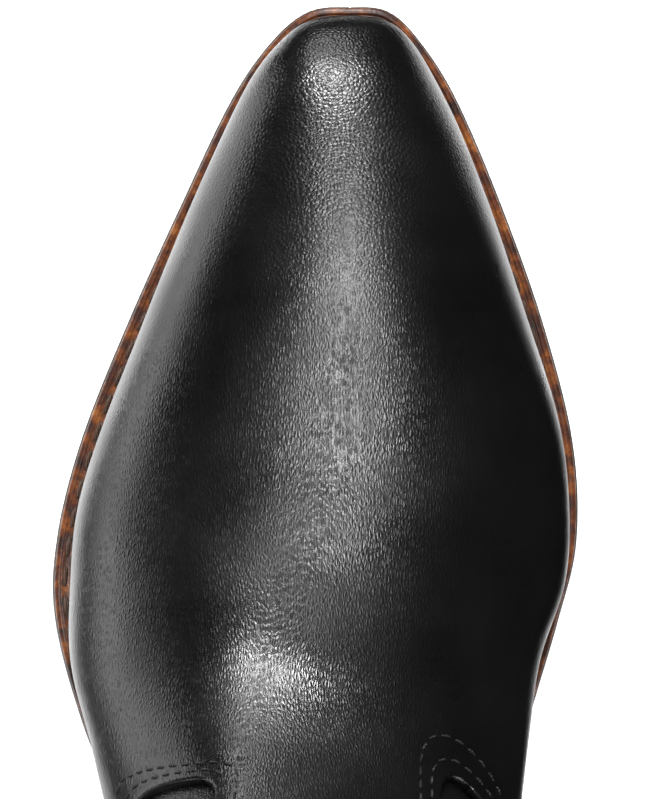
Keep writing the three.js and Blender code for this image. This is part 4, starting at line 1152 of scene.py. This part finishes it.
def strap(label, side):
    path = smooth_path(strap_path())
    ahead = unit(np.gradient(path, axis=0))
    outwards = np.stack([ahead[:, 1], -ahead[:, 0]], 1)
    rings = []
    for w, through in strap_section():
        crown = STRAP_CROWN * (1 - (w / (STRAP_WIDTH / 2)) ** 2) if through > 0 else 0
        offset = path + outwards * (through + crown)
        y = np.full(len(path), SEAM_Y + w)
        rings.append(place_on_side(side, y, offset[:, 1], offset[:, 0])[0])
    obj = swept(f"{label}_pull_strap", np.stack(rings, 1))
    x, y = side * HINGE_X, SEAM_Y * MM
    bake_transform(obj)
    legs = [f"{label}_strap_outer_leg", f"{label}_strap_inner_leg", f"{label}_pull_loop"]
    finish_piece(obj, TRIM_LEATHER, body=None, replaced=legs)


STITCH_INSET = 2.6
STITCH_TOP = -8.0
DOWN_COUNT = 60
ACROSS_COUNT = 40


def strap_rows(side):
    """Four rows of sewing, round the outer leg's edges."""
    reach, bottom = STRAP_WIDTH / 2 - STITCH_INSET, STITCH_INSET - STRAP_OUTER_LEG
    proud = STRAP_THICKNESS / 2 + 0.1
    heights = np.linspace(bottom, STITCH_TOP, DOWN_COUNT)
    rows = []
    for w in (-reach, reach):
        y = np.full(DOWN_COUNT, SEAM_Y + w)
        rows.append(place_on_side(side, y, heights, outer_leg_depth(heights) + proud))
    y = np.linspace(SEAM_Y - reach, SEAM_Y + reach, ACROSS_COUNT)
    for height in (bottom, STITCH_TOP):
        depths = np.full(ACROSS_COUNT, outer_leg_depth(height) + proud)
        rows.append(place_on_side(side, y, np.full(ACROSS_COUNT, height), depths))
    return rows


for label, side in SIDES:
    strap(label, side)
    sewn = stitches(f"{label}_strap_stitches", strap_rows(side), 2.8, 2.1, 0.32)
    finish_piece(sewn, THREAD)

# Rows of stitches on the upper
TOP_ROWS = (1.9, 3.9)


def before_vamp_end(p):
    return p[..., 1] - VAMP_END_Y


def behind_vamp_end(p):
    return VAMP_END_Y - p[..., 1]


EDGE_SEAMS = (
    ("vamp_edge_stitches", outside_vamp_top, before_vamp_end, (6.0, 18.12), UPPER_SPAN),
    ("counter_edge_stitches", over_counter, behind_vamp_end, (11.2, 18.2), COUNTER_SPAN),
)
for name, edge, end, k_range, span in EDGE_SEAMS:
    rows = []
    for inset in TOP_ROWS:
        rows += seam_lines(edge, [below_feather, end], inset, k_range, span)
    finish_piece(stitches(name, rows, 2.9, 2.2, 0.24, 0.5), THREAD)

# The binding's stitches, in the runs between the straps
binding_out = np.full(TOP_COLUMNS, BIND_OUT + BINDING_THICKNESS)
bound = layer(top_k - BINDING_STITCH_DROP / climb, turns, binding_out)
upwards = normal(top_k, turns)
bound, upwards = np.vstack([bound, bound[:1]]), np.vstack([upwards, upwards[:1]])
away = np.abs(bound[:, 1] - SEAM_Y) > STRAP_WIDTH / 2 + 1.5
runs, run = [], []
for n, keep in enumerate(np.r_[away, False]):
    if keep:
        run.append(n)
    elif run:
        runs.append((bound[run], upwards[run]))
        run = []
finish_piece(stitches("topline_stitches", runs, 2.8, 2.0, 0.3), THREAD)

# ---- sole
# The sole's rim and the stitch groove under it, as (inset, rise) pairs
EDGE = [(1.0, 0.0), (0.45, 0.12), (0.12, 0.45), (0.0, 1.0), (0.0, 2.4), (0.0, 4.0)]
EDGE += [(0.1, 4.6), (0.35, 4.92), (0.8, OUTSOLE_TOP)]
CHANNEL = [(3.6, 0.0), (3.9, 0.22), (4.2, 0.5), (4.5, 0.5), (4.8, 0.22), (5.1, 0.0)]
ACROSS = 14


def closed_sheet(name, lateral, medial):
    """A sheet from the lines along its two sides, filled across its top and its underside."""
    shares = np.linspace(0, 1, ACROSS)[1:-1]
    top_fill = [lateral[-1] * (1 - s) + medial[0] * s for s in shares]
    low_fill = [medial[-1] * (1 - s) + lateral[0] * s for s in shares]
    return swept(name, np.stack(lateral + top_fill + medial + low_fill, 1))


def foot_sheet(name, stations, edge, channel):
    """A sheet of the sole's outline: edge gives its rim, channel dips its underside."""
    profile = [*reversed(channel), *edge]
    lateral = [lifted(sole_point(1, stations, inset), rise) for inset, rise in profile]
    medial = [lifted(sole_point(-1, stations, inset), rise) for inset, rise in reversed(profile)]
    return closed_sheet(name, lateral, medial)


stations = even_stops(0.02, OUTLINE_ROWS - 0.02, 1, 1.5)
outsole = foot_sheet("outsole_sheet", stations, EDGE, CHANNEL)
finish_piece(outsole, SOLE, replaced=["outsole"])

WELT_DIPS = [(1.55, 8.17), (1.75, 7.98), (1.95, 7.98), (2.15, 8.12), (3.2, 8.1)]
WELT_PROFILE = strip_profile(0.45, WELT_STRIP, OUTSOLE_TOP + 0.02, 8.15, 0.9, WELT_DIPS)
welt = edge_strip("stitched_welt", stops_round_toe(1.1), WELT_PROFILE)
finish_piece(welt, WELT, replaced=["welt"])
RAND_PROFILE = strip_profile(0.45, WELT_STRIP, OUTSOLE_TOP + 0.02, 8.2, 0.9, [(3.0, 8.22)])
rand = edge_strip("heel_rand_strip", stops_round_heel(1.3), RAND_PROFILE)
finish_piece(rand, WELT, replaced=["heel_rand"])

# Lockstitches through the welt and the sole, which stop short of the heel breast
WELT_PITCH = 5.6
WELT_ROW_INSET = 2.6
SOLE_ROW_INSET = 4.35
SEWN_PART = slice(8, -8)
sides, along_edge = stops_round_toe(1.0)
welt_line = lifted(sole_point(sides, along_edge, WELT_ROW_INSET), WELT_TOP - 0.15)[SEWN_PART]
upright = np.tile([0.0, 0.0, 1.0], (len(welt_line), 1))
welt_sewing = stitches("welt_stitches", [(welt_line, upright)], WELT_PITCH, 4.5, 0.5, 0.25)
finish_piece(welt_sewing, WELT_THREAD, replaced=["welt_thread"])
under_line = lifted(sole_point(sides, along_edge, SOLE_ROW_INSET), 0.35)[SEWN_PART]
sole_sewing = stitches("outsole_stitches", [(under_line, -upright)], WELT_PITCH, 4.3, 0.4, 0.3)
finish_piece(sole_sewing, WELT_THREAD)


# Insole and sock liner, cut to the inside of the upper
def over_point(k, turn):
    """How far the feather line's height is over a point of the surface."""
    p = surface(k, turn)
    return feather_z(p[..., 1]) - p[..., 2]


def feather_turn(side, k):
    found = bisect(lambda t: over_point(k, side * t), PI / 2 + 0 * k, PI)
    return side * np.where(over_point(k, side * np.full_like(k, PI)) < 0, PI, found)


BACK_SECTION = float(bisect(lambda k: -over_point(k, PI), 14.0, 17.0))


def sheet_side(edge, opposite, profile):
    """Lines along one side of a sheet; an inset moves them towards the opposite side, at most half way."""
    width = np.linalg.norm(edge - opposite, axis=1)[:, None]
    return [
        lifted(edge + (opposite - edge) * np.clip(inset / width, 0, 0.5), rise) for inset, rise in profile
    ]


def inside_sheet(name, clearance, low, high, rounding):
    k = even_stations(0.35, BACK_SECTION - 0.03, 2.2)
    depth = np.full(len(k), INNER[1] - clearance)
    outer, inner = (layer(k, feather_turn(side, k), depth)[:, :2] for side in (1, -1))
    corner = [math.radians(a) for a in (0, 45, 90)]
    profile = [(rounding * (1 - math.sin(a)), low + rounding * (1 - math.cos(a))) for a in corner]
    profile += [(rounding * (1 - math.cos(a)), high - rounding * (1 - math.sin(a))) for a in corner]
    return closed_sheet(name, sheet_side(outer, inner, profile), sheet_side(inner, outer, profile[::-1]))


insole = inside_sheet("insole_board", 0.5, INSOLE_BASE, INSOLE_TOP, 0.4)
finish_piece(insole, BOARD, replaced=["insole"])
sock = inside_sheet("sock_leather_sheet", 0.8, SOCK_BASE - 0.25, SOCK_TOP, 0.4)
finish_piece(sock, SOCK, replaced=["sock_liner"])

# ---- heel
HEEL_ROUNDNESS = 2 / 3
HEEL_TAPER_POWER = 0.85
HEEL_COUNT = 120
BREAST_COUNT = 26
HEEL_FACE_INSET = 6.0
LIFT_GAP = 0.04


def heel_plan(drop):
    from_back = np.linspace(-1, 1, HEEL_COUNT + 1)
    side = np.where(from_back < 0, 1.0, -1.0)
    station = OUTLINE_ROWS - (OUTLINE_ROWS - BREAST_STATION) * np.abs(from_back)
    top = sole_at(side, station)
    angle = PI * (1 - np.abs(from_back)) / 2
    bottom = np.stack([
        side * HEEL_BASE / 2 * np.maximum(0, np.cos(angle)) ** HEEL_ROUNDNESS,
        -HEEL_BASE / 2 + HEEL_BASE * np.sin(angle) ** HEEL_ROUNDNESS,
    ], -1)
    plan = top + (bottom - top) * drop**HEEL_TAPER_POWER
    breast = np.linspace(0, 1, BREAST_COUNT)[1:-1, None]
    return np.vstack([plan, plan[-1] * (1 - breast) + plan[0] * breast])


def heel_ring(share, lift, inset):
    plan = heel_plan(1 - share)
    centre = plan.mean(axis=0)
    size = np.linalg.norm(plan - centre, axis=1, keepdims=True)
    plan = plan - (plan - centre) / size * inset
    z = share * underside_z(np.maximum(plan[:, 1], SEAT_START_Y)) + lift
    return np.concatenate([plan, z[:, None]], 1)


def heel_slab(name, low, high, rounding):
    """A lift between two shares of the heel's height, with softened edges."""
    soft = 0.3 * rounding
    steps = [(low, 0.0, HEEL_FACE_INSET), (low, 0.0, rounding), (low, soft, soft), (low, rounding, 0.0)]
    steps += [(low + (high - low) * s, 0.0, 0.0) for s in (0.35, 0.65)]
    steps += [(high, -LIFT_GAP - rounding, 0.0), (high, -LIFT_GAP - soft, soft)]
    steps += [(high, -LIFT_GAP, rounding), (high, -LIFT_GAP, HEEL_FACE_INSET)]
    return swept(name, np.stack([heel_ring(*step) for step in steps], 0))


CAP_SHARE = CAP_THICKNESS / HEEL_HEIGHT
for i in range(HEEL_LIFTS):
    low = CAP_SHARE + (1 - CAP_SHARE) * i / HEEL_LIFTS
    high = CAP_SHARE + (1 - CAP_SHARE) * (i + 1) / HEEL_LIFTS
    lift_piece = heel_slab(f"stack_lift_{i + 1}", low, high, 0.22)
    finish_piece(lift_piece, STACK, replaced=[f"heel_lift_{i + 1}"])
cap = heel_slab("heel_top_piece", 0.0, CAP_SHARE, 0.5)
finish_piece(cap, RUBBER, replaced=["heel_cap"])

# Wooden pegs in the waist, with their diamond ends just proud of the sole
PEG_HALF = 1.1
PEG_INSET = 5.0
PEG_ROWS = 5
PEG_START_Y = -92.0
PEG_ROW_LENGTH = 50.0
# (height over the sole's underside, share of the peg's width)
PEG_PROFILE = [(-0.12, 0.55), (-0.08, 0.85), (0.1, 1.0), (7.4, 1.0), (7.5, 0.9)]


def peg_rings(x, y):
    """Square rings, turned corner forwards, up the peg."""
    z = float(underside_z(y))
    rings = []
    for height, scale in PEG_PROFILE:
        reach = PEG_HALF * math.sqrt(2) * scale
        corners = ((x + reach, y), (x, y + reach), (x - reach, y), (x, y - reach))
        rings.append([(*corner, z + height) for corner in corners])
    return np.array(rings)


number = 0
for side in (1, -1):
    for i in range(PEG_ROWS):
        number += 1
        station = outline_station(PEG_START_Y + PEG_ROW_LENGTH * i / (PEG_ROWS - 1))
        peg = swept(f"peg_{number}", peg_rings(*sole_point(side, station, PEG_INSET)))
        peg.data.polygons.foreach_set("use_smooth", [False] * len(peg.data.polygons))
        finish_piece(peg, WOOD, replaced=[f"waist_peg_{number}"])

# ---- pieces that keep their CAD shape
KEPT = {"cork_filler": CORK, "shank": STEEL}
KEPT.update({node: BOARD for node in ("toe_puff", "vamp_interlining", "heel_stiffener")})
KEPT.update({f"heel_nail_{i + 1}": STEEL for i in range(4)})
for node, material in KEPT.items():
    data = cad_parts[node].data
    data.materials.clear()
    data.materials.append(material)

# ---- camera
# In metres. The field's width is measured at the height of the sole's edge.
scene = bpy.context.scene
CAMERA_HEIGHT = 1.0
EDGE_HEIGHT = 0.006
FIELD_WIDTH = 0.1265
SENSOR_WIDTH = 36.0
camera_data = bpy.data.cameras.new("camera")
camera_data.sensor_fit = "HORIZONTAL"
camera_data.sensor_width = SENSOR_WIDTH
camera_data.lens = SENSOR_WIDTH * (CAMERA_HEIGHT - EDGE_HEIGHT) / FIELD_WIDTH
camera = bpy.data.objects.new("camera", camera_data)
camera.location = (-0.00076, -0.16185, CAMERA_HEIGHT)
camera.rotation_euler = (0, 0, PI)
scene.collection.objects.link(camera)
scene.camera = camera

# ---- floor and light
scene.view_settings.view_transform = "Standard"
world = bpy.data.worlds.new("room")
world.use_nodes = True
background = world.node_tree.nodes["Background"]
background.inputs["Color"].default_value = (0.9, 0.95, 1.0, 1)
background.inputs["Strength"].default_value = 0.012
scene.world = world


def floor_material(name, glow):
    n = Nodes(name)
    constants = {"Emission Color": (1, 1, 1, 1), "Emission Strength": glow, "Specular IOR Level": 0.1}
    return n.finish((0.9, 0.9, 0.9), 0.9, **constants)


BOWL_SIDES = 64
BOWL_RADIUS = 14000.0
BOWL_RISE = 10300.0
BOWL_FLAT = 0.6
BOWL_DROP = 0.2


def bowl(name):
    """A pale floor that curves up far away, so that no horizon shows."""
    shares = np.r_[0.3, BOWL_FLAT, np.linspace(0.7, 1.0, 10)]
    around = np.linspace(0, 2 * PI, BOWL_SIDES, endpoint=False)
    points = [(0.0, 0.0, -BOWL_DROP)]
    for share in shares:
        reach = BOWL_RADIUS * share
        z = BOWL_RISE * max(0.0, (share - BOWL_FLAT) / (1 - BOWL_FLAT)) ** 2 - BOWL_DROP
        points += [(reach * math.cos(a), reach * math.sin(a), z) for a in around]
    faces = [(0, 1 + j, 1 + (j + 1) % BOWL_SIDES) for j in range(BOWL_SIDES)]
    quads = grid_faces(len(shares), BOWL_SIDES, closed_columns=True)
    faces += [tuple(n + 1 for n in reversed(quad)) for quad in quads]
    return mesh_object(name, np.array(points), faces)


studio = bowl("studio_floor")
studio.data.materials.append(floor_material("floor_paint", 0.9))
studio.visible_glossy = False

# The floor's patch round the boot is the only part of it that the gloss of the leather picks up.
NEAR_OUTER = 72.0
NEAR_INNER = -53.0
NEAR_FRONT = -244.0
NEAR_BACK = 140.0
NEAR_DROP = 0.05
near_corners = (
    (NEAR_INNER, NEAR_FRONT), (NEAR_OUTER, NEAR_FRONT), (NEAR_OUTER, NEAR_BACK), (NEAR_INNER, NEAR_BACK)
)
near_floor = mesh_object("near_floor", [(*corner, -NEAR_DROP) for corner in near_corners], [(0, 1, 2, 3)])
near_floor.data.materials.append(floor_material("near_floor_paint", 0.5))

BOOT_MIDDLE = (0.0, -0.17, 0.04)
SHAFT_MIDDLE = (0.0, -0.02, 0.15)


def softbox(name, direction, distance, size, power, aim=BOOT_MIDDLE):
    """An area light; direction is degrees from straight up, and round from the toe to the outer side."""
    tilt, azimuth = (math.radians(v) for v in direction)
    away = (math.sin(tilt) * math.sin(azimuth), -math.sin(tilt) * math.cos(azimuth), math.cos(tilt))
    data = bpy.data.lights.new(name, "AREA")
    data.shape = "RECTANGLE"
    data.size, data.size_y = size
    data.energy = power
    light = bpy.data.objects.new(name, data)
    light.location = tuple(a + distance * d for a, d in zip(aim, away))
    light.rotation_euler = Vector(away).to_track_quat("Z", "Y").to_euler()
    light.visible_camera = False
    scene.collection.objects.link(light)


softbox("toe_softbox", (58, 1), 0.9, (0.15, 0.22), 11)
softbox("ridge_softbox", (22, -6), 0.95, (0.13, 0.15), 1.5)
softbox("crown_softbox", (15, -6), 0.95, (0.1, 0.14), 4.0)
softbox("outer_panel", (104, 84), 0.75, (1.1, 0.3), 3.4)
softbox("instep_softbox", (93, 6), 0.95, (0.14, 0.5), 2.2)
softbox("rear_outer_panel", (62, 148), 1.3, (0.9, 0.7), 16, SHAFT_MIDDLE)
softbox("rear_inner_panel", (62, -140), 1.3, (0.9, 0.7), 12, SHAFT_MIDDLE)
